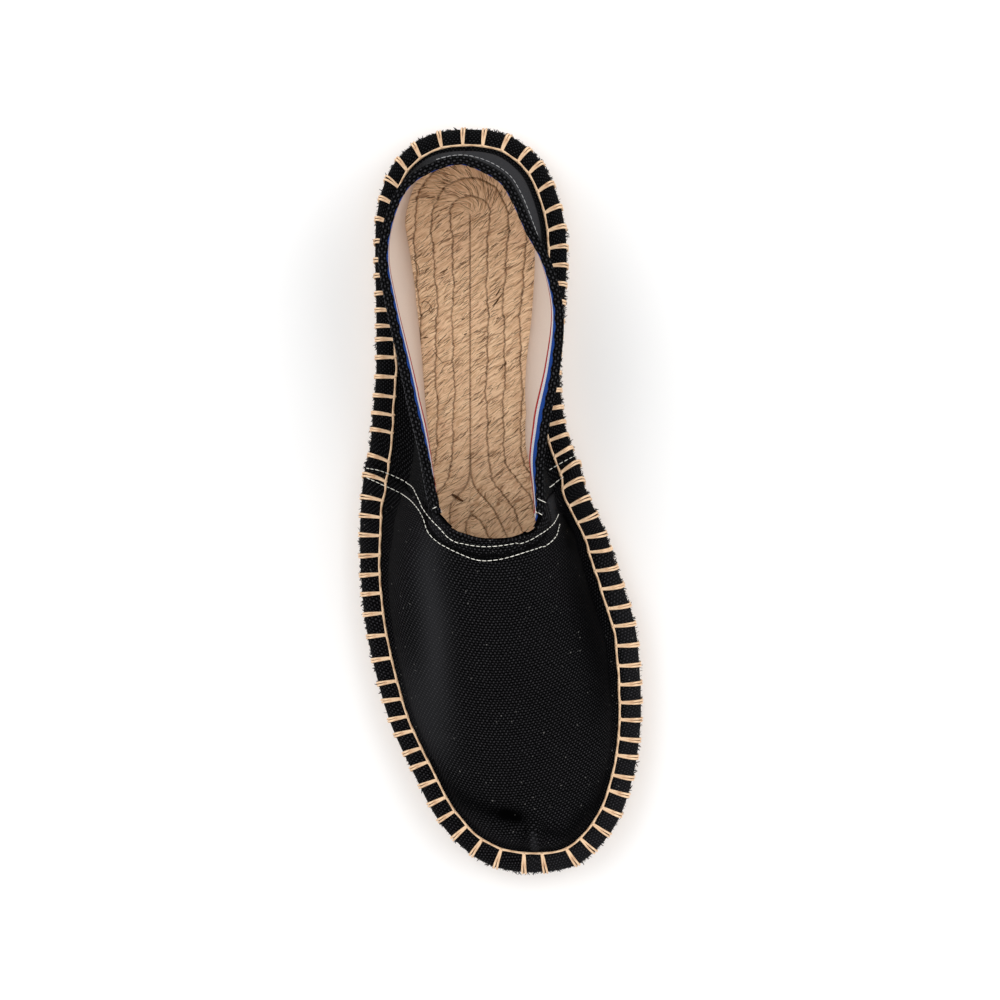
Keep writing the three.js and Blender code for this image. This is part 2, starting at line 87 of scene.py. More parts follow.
# Stations from heel tip to toe tip: along, lateral, medial, topAlong, topLateral, topMedial, height.
# Along in shares of the length, across in shares of the ball width, height of the wall's rise.
STATIONS = np.array(
    [
        (0.000, -0.116, -0.116, 0.059, -0.113, -0.113, 1.000),
        (0.008, -0.256, 0.025, 0.069, -0.214, -0.029, 0.997),
        (0.030, -0.342, 0.112, 0.086, -0.289, 0.042, 0.989),
        (0.056, -0.395, 0.165, 0.109, -0.334, 0.081, 0.975),
        (0.110, -0.438, 0.219, 0.152, -0.373, 0.133, 0.945),
        (0.164, -0.446, 0.237, 0.190, -0.384, 0.188, 0.915),
        (0.245, -0.442, 0.226, 0.252, -0.358, 0.231, 0.876),
        (0.326, -0.442, 0.212, 0.327, -0.314, 0.221, 0.849),
        (0.380, -0.453, 0.222, 0.396, -0.275, 0.186, 0.838),
        (0.415, -0.460, 0.240, 0.455, -0.235, 0.165, 0.840),
        (0.446, -0.470, 0.270, 0.518, -0.196, 0.166, 0.862),
        (0.487, -0.484, 0.296, 0.538, -0.135, 0.137, 0.900),
        (0.541, -0.491, 0.362, 0.548, -0.062, 0.068, 0.928),
        (0.575, -0.491, 0.392, 0.550, 0.000, 0.000, 0.938),
        (0.620, -0.485, 0.432, 0.600, 0.014, 0.014, 0.862),
        (0.670, -0.470, 0.471, 0.664, 0.031, 0.031, 0.746),
        (0.730, -0.437, 0.488, 0.725, 0.049, 0.049, 0.625),
        (0.800, -0.383, 0.491, 0.786, 0.066, 0.066, 0.506),
        (0.870, -0.296, 0.465, 0.834, 0.078, 0.078, 0.419),
        (0.930, -0.210, 0.411, 0.864, 0.085, 0.085, 0.365),
        (0.970, -0.110, 0.330, 0.880, 0.088, 0.088, 0.335),
        (0.989, -0.020, 0.255, 0.888, 0.089, 0.089, 0.322),
        (0.9968, 0.105, 0.105, 0.893, 0.090, 0.090, 0.312),
    ]
)
CORNER_ROW = 10
THROAT_ROW = 13
LAST_ROW = len(STATIONS) - 1

# Row, tuckLateral, tuckMedial (shares of the ball width), turn, rise, crown (shares)
WALL_ROWS = np.array(
    [
        (0, 0.090, 0.090, 0.00, 0.40, 0.30),
        (4, 0.083, 0.085, 0.00, 0.40, 0.30),
        (6, 0.123, 0.087, 0.00, 0.36, 0.30),
        (8, 0.160, 0.104, 0.05, 0.36, 0.30),
        (10, 0.160, 0.113, 0.40, 0.42, 0.36),
        (12, 0.127, 0.108, 0.92, 0.46, 0.55),
        (14, 0.104, 0.116, 1.00, 0.44, 0.60),
        (16, 0.098, 0.110, 1.00, 0.42, 0.60),
        (18, 0.094, 0.098, 1.00, 0.46, 0.60),
        (22, 0.096, 0.090, 1.00, 0.50, 0.58),
    ]
)
FLANGE_SHAPE = np.array([(0.02, 1.00), (0.00, 0.62), (0.18, 0.24), (0.55, 0.04), (1.00, 0.00)])


class Side(Enum):
    """Little-toe and big-toe side of the shoe, as the sign of x."""

    LATERAL = -1
    MEDIAL = 1


class Spline:
    """Centripetal curve through given points, evaluated by a share of its point numbers."""

    def __init__(self, points: Array, closed: bool = False) -> None:
        """Fits the curve.

        Args:
            points: the points, in order.
            closed: whether the last one leads back to the first.
        """
        points = np.asarray(points, float)
        self.closed = closed
        if closed:
            padded = np.vstack([points[-1:], points, points[:2]])
        else:
            padded = np.vstack([2 * points[:1] - points[1:2], points, 2 * points[-1:] - points[-2:-1]])
        self.count = len(padded) - 3
        p0, p1, p2, p3 = (padded[i : i + self.count] for i in range(4))
        pairs = ((p0, p1), (p1, p2), (p2, p3))
        d0, d1, d2 = (np.sqrt(np.linalg.norm(b - a, axis=1))[:, None] for a, b in pairs)
        start = d1 * ((p1 - p0) / d0 - (p2 - p0) / (d0 + d1) + (p2 - p1) / d1)
        finish = d1 * ((p2 - p1) / d1 - (p3 - p1) / (d1 + d2) + (p3 - p2) / d2)
        self.parts = (p1, start, -3 * p1 + 3 * p2 - 2 * start - finish, 2 * p1 - 2 * p2 + start + finish)

    def at(self, share: Array) -> Array:
        """Reads the curve.

        Args:
            share: where along the curve, from 0 to 1.

        Returns:
            One point for each share.
        """
        place = np.asarray(share, float) * self.count
        place = place % self.count if self.closed else np.clip(place, 0, self.count - 1e-9)
        number = place.astype(int)
        t = (place - number)[:, None]
        a, b, c, d = (part[number] for part in self.parts)
        return a + t * (b + t * (c + t * d))


def smooth_step(low: float, high: float, value: Array) -> Array:
    """Returns: 0 below low, 1 above high and an eased share between."""
    share = np.clip((np.asarray(value, float) - low) / (high - low), 0, 1)
    return share * share * (3 - 2 * share)


def bezier(points: list[Array], share: Array) -> Array:
    """Evaluates one Bezier curve for each row of its control points.

    Args:
        points: the control points, each an array of rows.
        share: where along the curves.

    Returns:
        Points by row and by share.
    """
    level = [p[:, None, :] * np.ones((1, len(share), 1)) for p in points]
    t = share[None, :, None]
    while len(level) > 1:
        level = [a * (1 - t) + b * t for a, b in zip(level, level[1:])]
    return level[0]


def unit(vectors: Array) -> Array:
    """Returns: the vectors at length one."""
    return vectors / np.maximum(np.linalg.norm(vectors, axis=-1, keepdims=True), 1e-12)


def running_length(points: Array) -> Array:
    """Measures along a path, or along each of several paths.

    Args:
        points: the points, by path where there are several.

    Returns:
        The length up to each point.
    """
    spans = np.linalg.norm(np.diff(points, axis=-2), axis=-1)
    return np.concatenate([np.zeros((*spans.shape[:-1], 1)), np.cumsum(spans, axis=-1)], axis=-1)


def search_tree(points: Array) -> KDTree:
    """Builds a tree that finds the nearest of some points.

    Args:
        points: the points.

    Returns:
        The tree, ready for use.
    """
    tree = KDTree(len(points))
    for number, point in enumerate(points):
        tree.insert(point, number)
    tree.balance()
    return tree


def spring(y: Array) -> Array:
    """Returns: how far the toe spring lifts the shoe at this y."""
    start = -0.26 * LENGTH
    return TOE_SPRING * (np.maximum(0, (start - y) / (0.5 * LENGTH + start))) ** 2


def outline_points(column: int) -> Array:
    """Returns: the station table's outline on one side (column 1 or 2), on the floor."""
    x, y = STATIONS[:, column] * BALL_WIDTH, (0.5 - STATIONS[:, 0]) * LENGTH
    return np.column_stack([x, y, np.zeros(len(x))])


def top_points(column: int) -> Array:
    """Returns: the station table's wall ends on one side (column 4 or 5)."""
    heights = FOLD_HEIGHT + STATIONS[:, 6] * WALL_RISE
    return np.column_stack([STATIONS[:, column] * BALL_WIDTH, (0.5 - STATIONS[:, 3]) * LENGTH, heights])


@dataclass
class LastForm:
    """The form that the shoe keeps: outline, wall ends and the wall between them."""

    collar_steps: int = 150
    throat_steps: int = 48
    ridge_steps: int = 96
    flange_steps: int = 14
    foot_steps: int = 7
    wall_steps: int = 36
    shortest_run: float = 20.0

    def __post_init__(self) -> None:
        """Fits the curves through the stations."""
        lateral, medial = outline_points(1), outline_points(2)
        self.outline_curve = Spline(np.vstack([lateral, medial[-2:0:-1]]), closed=True)
        lateral, medial = top_points(4), top_points(5)
        self.collar_curve = Spline(np.vstack([medial[CORNER_ROW::-1], lateral[1 : CORNER_ROW + 1]]))
        lateral_throat = lateral[CORNER_ROW : THROAT_ROW + 1]
        medial_throat = medial[THROAT_ROW - 1 : CORNER_ROW - 1 : -1]
        self.throat_curve = Spline(np.vstack([lateral_throat, medial_throat]))
        self.ridge_curve = Spline(medial[THROAT_ROW:])

    def places(self) -> tuple[Array, Array]:
        """Spreads the places over the outline.

        Returns:
            Station numbers and sides round the shoe, heel to toe and back.
        """
        rows = np.concatenate(
            [
                np.linspace(0, CORNER_ROW, self.collar_steps, endpoint=False),
                np.linspace(CORNER_ROW, THROAT_ROW, self.throat_steps, endpoint=False),
                np.linspace(THROAT_ROW, LAST_ROW, self.ridge_steps, endpoint=False),
            ]
        )
        around = np.concatenate([rows, [LAST_ROW], rows[:0:-1]])
        sides = np.where(np.arange(len(around)) < len(rows), Side.LATERAL.value, Side.MEDIAL.value)
        return around, sides

    def outline(self, rows: Array, sides: Array, shift: float = 0.0) -> Array:
        """Returns: outline points at these places, a shift along the curve from them."""
        turns = rows / (2 * LAST_ROW)
        return self.outline_curve.at(np.where(sides < 0, turns, 1 - turns) + shift)

    def inward(self, rows: Array, sides: Array) -> Array:
        """Finds the way into the shoe.

        Args:
            rows: station numbers.
            sides: the side of each, as a sign.

        Returns:
            Unit vectors across the outline.
        """
        step = 0.0005
        run = unit(self.outline(rows, sides, step) - self.outline(rows, sides, -step))
        return np.column_stack([-run[:, 1], run[:, 0], 0 * rows])

    def ends(self, rows: Array, sides: Array) -> Array:
        """Finds where the wall ends.

        Args:
            rows: station numbers.
            sides: the side of each, as a sign.

        Returns:
            Points on the collar, the throat edge or the ridge.
        """
        collar = self.collar_curve.at(0.5 - 0.5 * sides * np.minimum(rows, CORNER_ROW) / CORNER_ROW)
        share = np.clip((rows - CORNER_ROW) / (THROAT_ROW - CORNER_ROW), 0, 1)
        throat = self.throat_curve.at(np.where(sides < 0, 0.5 * share, 1 - 0.5 * share))
        ridge = self.ridge_curve.at(np.clip((rows - THROAT_ROW) / (LAST_ROW - THROAT_ROW), 0, 1))
        on_collar, on_throat = rows[:, None] <= CORNER_ROW, rows[:, None] <= THROAT_ROW
        return np.where(on_collar, collar, np.where(on_throat, throat, ridge))

    def wall_value(self, column: int, rows: Array) -> Array:
        """Reads the wall table, eased between its rows.

        Args:
            column: the column's number.
            rows: station numbers.

        Returns:
            One value for each station number.
        """
        knots = WALL_ROWS[:, 0]
        upper = np.clip(np.searchsorted(knots, rows), 1, len(knots) - 1)
        low, high = WALL_ROWS[upper - 1], WALL_ROWS[upper]
        share = np.clip((rows - low[:, 0]) / (high[:, 0] - low[:, 0]), 0, 1)
        eased = share * share * (3 - 2 * share)
        return low[:, column] * (1 - eased) + high[:, column] * eased

    def ridge_slope(self, rows: Array) -> Array:
        """Measures how the ridge rises.

        Args:
            rows: station numbers.

        Returns:
            Rise per millimetre towards the heel under the wall's end.
        """
        share = np.clip((rows - THROAT_ROW) / (LAST_ROW - THROAT_ROW), 0, 1)
        after, before = (self.ridge_curve.at(np.clip(share + step, 0, 1)) for step in (1e-4, -1e-4))
        run = after - before
        return run[:, 2] / run[:, 1]

    def skin(self) -> Array:
        """Builds the form.

        Returns:
            Outer points of the canvas by place round the shoe and by step up the wall.
        """
        rows, sides = self.places()
        foot, inward, end = self.outline(rows, sides), self.inward(rows, sides), self.ends(rows, sides)
        run = (end - foot) * (1, 1, 0)
        tangent = np.column_stack([inward[:, 1], -inward[:, 0], 0 * rows])
        along, across = (run * tangent).sum(1), (run * inward).sum(1)
        direction = inward + tangent * (along / np.maximum(self.shortest_run, across))[:, None]

        def on_rib(inset: Array | float, height: Array | float) -> Array:
            """Places one point on each rib.

            Args:
                inset: distance from the outline.
                height: height above the floor.

            Returns:
                The points.
            """
            points = foot + direction * np.broadcast_to(inset, rows.shape)[:, None]
            points[:, 2] = height
            return points

        tuck = BALL_WIDTH * np.where(sides < 0, self.wall_value(1, rows), self.wall_value(2, rows))
        turn, rise, crown = (self.wall_value(column, rows) for column in (3, 4, 5))
        base = on_rib(tuck, FOLD_HEIGHT + FOOT_RADIUS)
        chord = end - base
        over = unit(chord * (1, 1, 0))
        flat_reach = np.linalg.norm(chord[:, :2], axis=1)
        over[:, 2] = self.ridge_slope(rows) * over[:, 1]
        arrival = unit(unit(chord) * (1 - turn)[:, None] + over * turn[:, None])
        reach = np.linalg.norm(chord, axis=1) * (1 - turn) + flat_reach * turn
        lower = base + np.column_stack([0 * rise, 0 * rise, chord[:, 2] * rise])
        upper = end - arrival * (reach * crown)[:, None]
        shape = Spline(np.column_stack([FLANGE_SHAPE, 0 * FLANGE_SHAPE[:, 0]]))
        profile = shape.at(np.linspace(0, 1, self.flange_steps)) * (FLANGE_WIDTH, FLANGE_DROP, 0)
        flange = [on_rib(inset, FOLD_HEIGHT - drop) for inset, drop, _ in profile]
        knee = on_rib(tuck, FOLD_HEIGHT + 0.1)
        fillet = bezier([flange[-1], knee, base], np.linspace(0, 1, self.foot_steps + 1)[1:])
        wall = bezier([base, lower, upper, end], np.linspace(0, 1, self.wall_steps + 1)[1:])
        points = np.concatenate([np.stack(flange, axis=1), fillet, wall], axis=1)
        points[:, :, 2] += spring(points[:, :, 1])
        return points


@dataclass(frozen=True)
class PhotoView:
    """Where the picture was taken from, to place a feature by the pixel where it shows."""

    eye: tuple[float, float, float] = (67.7, -4.0, 1300.0)
    scale_on_floor: float = 0.38071
    middle: float = 500.0

    def floor(self, pixels: Array) -> Array:
        """Follows rays down to the floor.

        Args:
            pixels: where the rays pass through the picture.

        Returns:
            Points on the floor.
        """
        pixels = np.asarray(pixels, float)
        x = self.eye[0] + (pixels[:, 0] - self.middle) * self.scale_on_floor
        y = self.eye[1] + (self.middle - pixels[:, 1]) * self.scale_on_floor
        return np.column_stack([x, y, 0 * x])

    def plan(self, pixels: Array, height: float) -> Array:
        """Returns: x and y of the rays through these pixels at a height."""
        eye = np.array(self.eye)
        return (eye + (self.floor(pixels) - eye) * (1 - height / eye[2]))[:, :2]


@dataclass(frozen=True)
class Crease:
    """A soft trough or ridge in the canvas along points of the plan, also used for bands of painted light and
    painted shade on the vamp.
    """

    path: tuple[tuple[float, float], ...]
    depth: float
    width: float

    def press(self, plan: Array) -> Array:
        """Measures the crease.

        Args:
            plan: points of the plan.

        Returns:
            How far each point is lifted along its normal.
        """
        path = np.asarray(self.path, float)
        best = np.full(plan.shape[:-1], 1e9)
        fade = np.zeros(plan.shape[:-1])
        lengths = np.linalg.norm(np.diff(path, axis=0), axis=1)
        total, done = lengths.sum(), 0.0
        for start, end, length in zip(path, path[1:], lengths):
            along = np.clip(((plan - start) @ (end - start)) / length**2, 0, 1)
            distance = np.linalg.norm(plan - (start + along[..., None] * (end - start)), axis=-1)
            share = (done + along * length) / total
            nearer = distance < best
            best = np.where(nearer, distance, best)
            fade = np.where(nearer, np.sin(np.pi * np.clip(share, 0.02, 0.98)) ** 0.5, fade)
            done += length
        return self.depth * fade * np.exp(-((best / self.width) ** 2))


class Skin:
    """The canvas skin as a grid of points and normals, which everything sewn to it reads."""

    def __init__(self, form: LastForm, creases: tuple[Crease, ...]) -> None:
        """Builds the skin.

        Args:
            form: the last.
            creases: what is pressed into the skin.
        """
        self.form = form
        self.rows, self.sides = form.places()
        self.points = form.skin()
        self.count, self.steps = self.points.shape[:2]
        self.first_vamp = form.collar_steps
        self.last_vamp = self.count - form.collar_steps
        self.first_ridge = form.collar_steps + form.throat_steps
        self.fold = form.flange_steps - 1
        self.foot = self.fold + form.foot_steps
        self.ids = np.arange(self.count * self.steps).reshape(self.count, self.steps)
        for number in range(self.first_ridge, self.count // 2):
            self.ids[self.count - number, -1] = self.ids[number, -1]
        self.normals = self.surface_normals()
        lift = np.zeros(self.points.shape[:2])
        free = smooth_step(0, 1, (np.arange(self.steps) - self.fold) / form.foot_steps)[None, :]
        for crease in creases:
            lift += crease.press(self.points[:, :, :2]) * free
        self.points = self.points + self.normals * lift[:, :, None]
        self.normals = self.surface_normals()
        self.from_top = self.distance_from_top()

    def surface_normals(self) -> Array:
        """Averages the faces round each point.

        Returns:
            Outward unit normals, shared where the two halves meet on the ridge.
        """
        p = self.points
        nxt = np.roll(p, -1, axis=0)
        faces = np.cross(nxt[:, 1:] - p[:, :-1], p[:, 1:] - nxt[:, :-1])
        total = np.zeros_like(p)
        for shift, part in ((0, slice(0, -1)), (0, slice(1, None)), (1, slice(0, -1)), (1, slice(1, None))):
            total[:, part] += np.roll(faces, shift, axis=0)
        flat = np.zeros((self.count * self.steps, 3))
        np.add.at(flat, self.ids.ravel(), total.reshape(-1, 3))
        return unit(flat[self.ids])

    def distance_from_top(self) -> Array:
        """Returns: length along the skin from each point up to the wall's end."""
        return running_length(self.points[:, ::-1])[:, ::-1]

    def around(self) -> Array:
        """Returns: length along the fold from the heel to each place."""
        return running_length(self.points[:, self.fold])

    def at(self, place: Array, step: Array, lift: Array | float = 0.0) -> Array:
        """Reads the skin between its grid points.

        Args:
            place: place numbers round the shoe, with fractions.
            step: step numbers up the wall, with fractions.
            lift: distance off the skin.

        Returns:
            One point for each place.
        """
        place, step = np.broadcast_arrays(np.asarray(place, float) % self.count, np.asarray(step, float))
        step = np.clip(step, 0, self.steps - 1 - 1e-6)
        i, j = place.astype(int), step.astype(int)
        a, b = (place - i)[..., None], (step - j)[..., None]
        i = i % self.count
        n = (i + 1) % self.count

        def blend(grid: Array) -> Array:
            """Reads one grid.

            Args:
                grid: a value for each place and step.

            Returns:
                The grid's values at the places.
            """
            low = grid[i, j] * (1 - a) + grid[n, j] * a
            high = grid[i, j + 1] * (1 - a) + grid[n, j + 1] * a
            return low * (1 - b) + high * b

        lift = np.broadcast_to(lift, place.shape)[..., None]
        return blend(self.points) + unit(blend(self.normals)) * lift

    def cover(self, place: Array) -> Array:
        """Measures the layer over the quarter.

        Args:
            place: place numbers, with fractions.

        Returns:
            How thick the vamp lies over the skin there.
        """
        place = np.asarray(place, float) % self.count
        inside = np.minimum(place - self.first_vamp, self.last_vamp - place)
        return VAMP_LAP * smooth_step(-1.0, 1.5, inside)

    def step_below(self, place: int, down: float) -> float:
        """Returns: the step number that lies this far down the wall from its end."""
        distances = self.from_top[place % self.count][::-1]
        return self.steps - 1 - float(np.interp(down, distances, np.arange(self.steps)))

    def nearest(self, plan: Array, step: int) -> float:
        """Finds the place beside a point.

        Args:
            plan: the point of the plan.
            step: the step number up the wall.

        Returns:
            The place number, with its fraction.
        """
        ring = self.points[:, step, :2]
        number = int(np.argmin(np.linalg.norm(ring - plan, axis=1)))
        before, after = ring[number - 1], ring[(number + 1) % self.count]
        run = after - before
        return number + float(np.clip(2 * ((plan - before) @ run) / (run @ run) - 1, -0.5, 0.5))


def grid_faces(ids: Array, closed: bool = False, flip: bool = False) -> Array:
    """Joins the neighbours of a grid.

    Args:
        ids: vertex numbers.
        closed: whether the last row leads back to the first.
        flip: whether the faces turn over.

    Returns:
        Quads of vertex numbers.
    """
    nxt = np.roll(ids, -1, axis=0) if closed else ids[1:]
    this = ids if closed else ids[:-1]
    quads = np.stack([this[:, :-1], nxt[:, :-1], nxt[:, 1:], this[:, 1:]], axis=-1).reshape(-1, 4)
    return quads[:, ::-1] if flip else quads


def strip_faces(first: Array, second: Array, closed: bool = False, flip: bool = False) -> Array:
    """Returns: quads between two rows of vertex numbers."""
    return grid_faces(np.stack([first, second], axis=1), closed, flip)


@dataclass
class Piece:
    """A mesh in the making: points in millimetres, faces and two texture lengths a vertex."""

    name: str
    points: Array
    faces: list[Array]
    uv: Array | None = None
    values: dict[str, Array] = field(default_factory=dict)

    def build(self, material: Material) -> Object:
        """Makes the Blender object.

        Args:
            material: the finish of the whole piece.

        Returns:
            The object, at the origin, with unused vertices left out.
        """
        used = np.unique(np.concatenate([f.ravel() for f in self.faces]))
        renumber = np.zeros(len(self.points), int)
        renumber[used] = np.arange(len(used))
        faces: list[list[int]] = []
        for block in self.faces:
            faces.extend([list(dict.fromkeys(face)) for face in renumber[block].tolist()])
        faces = [face for face in faces if len(face) > 2]
        mesh = bpy.data.meshes.new(self.name)
        mesh.from_pydata((self.points[used] * MM).tolist(), [], faces)
        if self.uv is not None:
            layer = mesh.uv_layers.new(name="UVMap")
            corners = np.zeros(len(mesh.loops), int)
            mesh.loops.foreach_get("vertex_index", corners)
            layer.data.foreach_set("uv", self.uv[used][corners].astype(np.float32).ravel())
        for name, source in self.values.items():
            layer = mesh.attributes.new(name, "FLOAT", "POINT")
            layer.data.foreach_set("value", source[used].astype(np.float32))
        mesh.polygons.foreach_set("use_smooth", [True] * len(mesh.polygons))
        mesh.materials.append(material)
        mesh.update()
        shown = bpy.data.objects.new(self.name, mesh)
        bpy.context.scene.collection.objects.link(shown)
        return shown


def settle(piece: Object, node: str = "") -> Object:
    """Hands a finished piece to the frame.

    Args:
        piece: the object.
        node: the CAD node that it stands for, if any.

    Returns:
        The same object.
    """
    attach(piece, BODY)
    if node:
        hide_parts(node)
    LOG.info("%s: %d faces", piece.name, len(piece.data.polygons))
    return piece


class NodeWriter:
    """Short hand for building a node tree."""

    def __init__(self, tree: bpy.types.NodeTree) -> None:
        """Args: tree, the node tree that is written."""
        self.tree = tree

    def add(self, kind: str, inputs: dict | None = None, **settings: object) -> bpy.types.Node:
        """Adds a node.

        Args:
            kind: the node's type name.
            inputs: values or sockets by input name or number.
            settings: properties of the node.

        Returns:
            The node.
        """
        node = self.tree.nodes.new(kind)
        for key, value in settings.items():
            setattr(node, key, value)
        self.feed(node, inputs or {})
        return node

    def feed(self, node: bpy.types.Node, inputs: dict) -> None:
        """Gives a node its inputs.

        Args:
            node: the node.
            inputs: values or sockets by input name or number.
        """
        for key, value in inputs.items():
            if isinstance(value, Socket):
                self.tree.links.new(value, node.inputs[key])
            else:
                node.inputs[key].default_value = value

    def math(self, operation: str, *values: object) -> Socket:
        """Returns: the result of a Math node on these values or sockets."""
        return self.add("ShaderNodeMath", dict(enumerate(values)), operation=operation).outputs[0]

    def mix(self, share: object, low: object, high: object, blend: str = "MIX") -> Socket:
        """Mixes two colours.

        Args:
            share: how much of the second colour shows, a value or a socket.
            low: the first colour, or its socket.
            high: the second colour, or its socket.
            blend: the way of mixing.

        Returns:
            The mixed colour.
        """
        node = self.add("ShaderNodeMix", {0: share}, data_type="RGBA", blend_type=blend)
        targets = [socket for socket in node.inputs if socket.type == "RGBA"]
        for target, value in zip(targets, (low, high)):
            if isinstance(value, Socket):
                self.tree.links.new(value, target)
            else:
                target.default_value = (*value, 1.0)
        return next(socket for socket in node.outputs if socket.type == "RGBA")

    def ramp(self, value: Socket, low: float, high: float) -> Socket:
        """Returns: 0 to 1 while value goes from low to high."""
        inputs = {"Value": value, "From Min": low, "From Max": high}
        return self.add("ShaderNodeMapRange", inputs, clamp=True).outputs["Result"]

    def noise(self, vector: Socket, scale: float, detail: float = 2.0) -> Socket:
        """Returns: noise from 0 to 1."""
        inputs = {"Vector": vector, "Scale": scale, "Detail": detail}
        return self.add("ShaderNodeTexNoise", inputs).outputs[0]

    def value(self, attribute: str) -> Socket:
        """Returns: a named number that the mesh holds at each point."""
        return self.add("ShaderNodeAttribute", attribute_name=attribute).outputs["Fac"]


class GroupWriter(NodeWriter):
    """A node group in the making, with its input and output nodes."""

    def __init__(self, name: str, kind: str, inputs: dict[str, str], outputs: dict[str, str]) -> None:
        """Starts the group.

        Args:
            name: the group's name.
            kind: the tree's type, for shaders or for geometry.
            inputs: socket types by input name.
            outputs: socket types by output name.
        """
        super().__init__(bpy.data.node_groups.new(name, kind))
        for way, sockets in (("INPUT", inputs), ("OUTPUT", outputs)):
            for label, socket in sockets.items():
                self.tree.interface.new_socket(label, in_out=way, socket_type="NodeSocket" + socket)
        self.given = self.add("NodeGroupInput").outputs
        self.out = self.add("NodeGroupOutput").inputs

    def close(self, geometry: Socket) -> bpy.types.NodeTree:
        """Ends a geometry tree: realizes the instances and sets the given material.

        Args:
            geometry: what the tree has made.

        Returns:
            The tree.
        """
        real = self.add("GeometryNodeRealizeInstances", {0: geometry}).outputs[0]
        dress = self.add("GeometryNodeSetMaterial", {"Geometry": real, "Material": self.given["Material"]})
        self.tree.links.new(dress.outputs[0], self.out[0])
        return self.tree


class FinishWriter(NodeWriter):
    """A material in the making."""

    def __init__(self, name: str) -> None:
        """Args: name, the material's name."""
        self.made = bpy.data.materials.new(name)
        self.made.use_nodes = True
        super().__init__(self.made.node_tree)

    def lengths(self) -> Socket:
        """Returns: the piece's own texture lengths in millimetres."""
        return self.add("ShaderNodeUVMap", uv_map="UVMap").outputs[0]

    def places(self) -> Socket:
        """Returns: coordinates on the piece itself, in metres."""
        return self.add("ShaderNodeTexCoord").outputs["Object"]

    def weave(self, lengths: Socket, warp: float, weft: float) -> bpy.types.Node:
        """Returns: the shared weave on these lengths, with these thread pitches."""
        inputs = {"Lengths": lengths, "Warp": warp, "Weft": weft}
        return self.add("ShaderNodeGroup", inputs, node_tree=weave_group())

    def finish(
        self,
        colour: Socket,
        height: Socket,
        relief: float,
        roughness: Socket | float,
        specular: float,
        strength: float = 1.0,
    ) -> Material:
        """Links the outcome to the shader.

        Args:
            colour: the colour.
            height: the relief's height, as a share of its depth.
            relief: the relief's depth in millimetres.
            roughness: of the surface.
            specular: its specular level.
            strength: how much of the relief shows.

        Returns:
            The material.
        """
        inputs = {"Height": height, "Distance": relief * MM, "Strength": strength}
        normal = self.add("ShaderNodeBump", inputs).outputs[0]
        looks = {"Base Color": colour, "Normal": normal, "Roughness": roughness}
        self.feed(self.tree.nodes["Principled BSDF"], {**looks, "Specular IOR Level": specular})
        return self.made


def linear(red: int, green: int, blue: int) -> Colour:
    """Returns: a screen colour, 0 to 255, as linear light."""
    shares = (red / 255, green / 255, blue / 255)
    return tuple(v / 12.92 if v <= 0.04 else ((v + 0.055) / 1.055) ** 2.4 for v in shares)


def weave_group() -> bpy.types.NodeTree:
    """Builds the plain weave that the canvas, tape, ribbon and lining share.

    Returns:
        A group with inputs Lengths, Warp and Weft, all in millimetres, and outputs Height and Tops.
    """
    name = "plain_weave"
    if name in bpy.data.node_groups:
        return bpy.data.node_groups[name]
    inputs = {"Lengths": "Vector", "Warp": "Float", "Weft": "Float"}
    write = GroupWriter(name, "ShaderNodeTree", inputs, {"Height": "Float", "Tops": "Float"})
    lengths = write.given["Lengths"]
    place = write.add("ShaderNodeSeparateXYZ", {0: lengths}).outputs
    drift = write.math("MULTIPLY", write.math("SUBTRACT", write.noise(lengths, 0.35), 0.5), 0.9)
    x = write.math("DIVIDE", write.math("ADD", place[0], drift), write.given["Warp"])
    y = write.math("DIVIDE", write.math("ADD", place[1], drift), write.given["Weft"])
    across, along = (
        write.math("ABSOLUTE", write.math("SINE", write.math("MULTIPLY", threads, math.pi)))
        for threads in (x, y)
    )
    parity = write.math("MODULO", write.math("ADD", write.math("FLOOR", x), write.math("FLOOR", y)), 2.0)
    under = write.math("MULTIPLY", write.math("ABSOLUTE", parity), 0.6)
    crown = write.math("MULTIPLY", write.math("POWER", across, 0.5), along)
    height = write.math("MULTIPLY", crown, write.math("SUBTRACT", 1.0, under))
    uneven = write.math("MULTIPLY", write.noise(lengths, 1.3, 1.0), 1.7)
    # Tops: lighter on the thread crowns, partly the threads' own colour and partly painted highlight, with
    # painted shade in the gaps between threads.
    tops = write.math("MULTIPLY", write.ramp(height, 0.22, 0.9), uneven)
    write.tree.links.new(height, write.out["Height"])
    write.tree.links.new(tops, write.out["Tops"])
    return write.tree


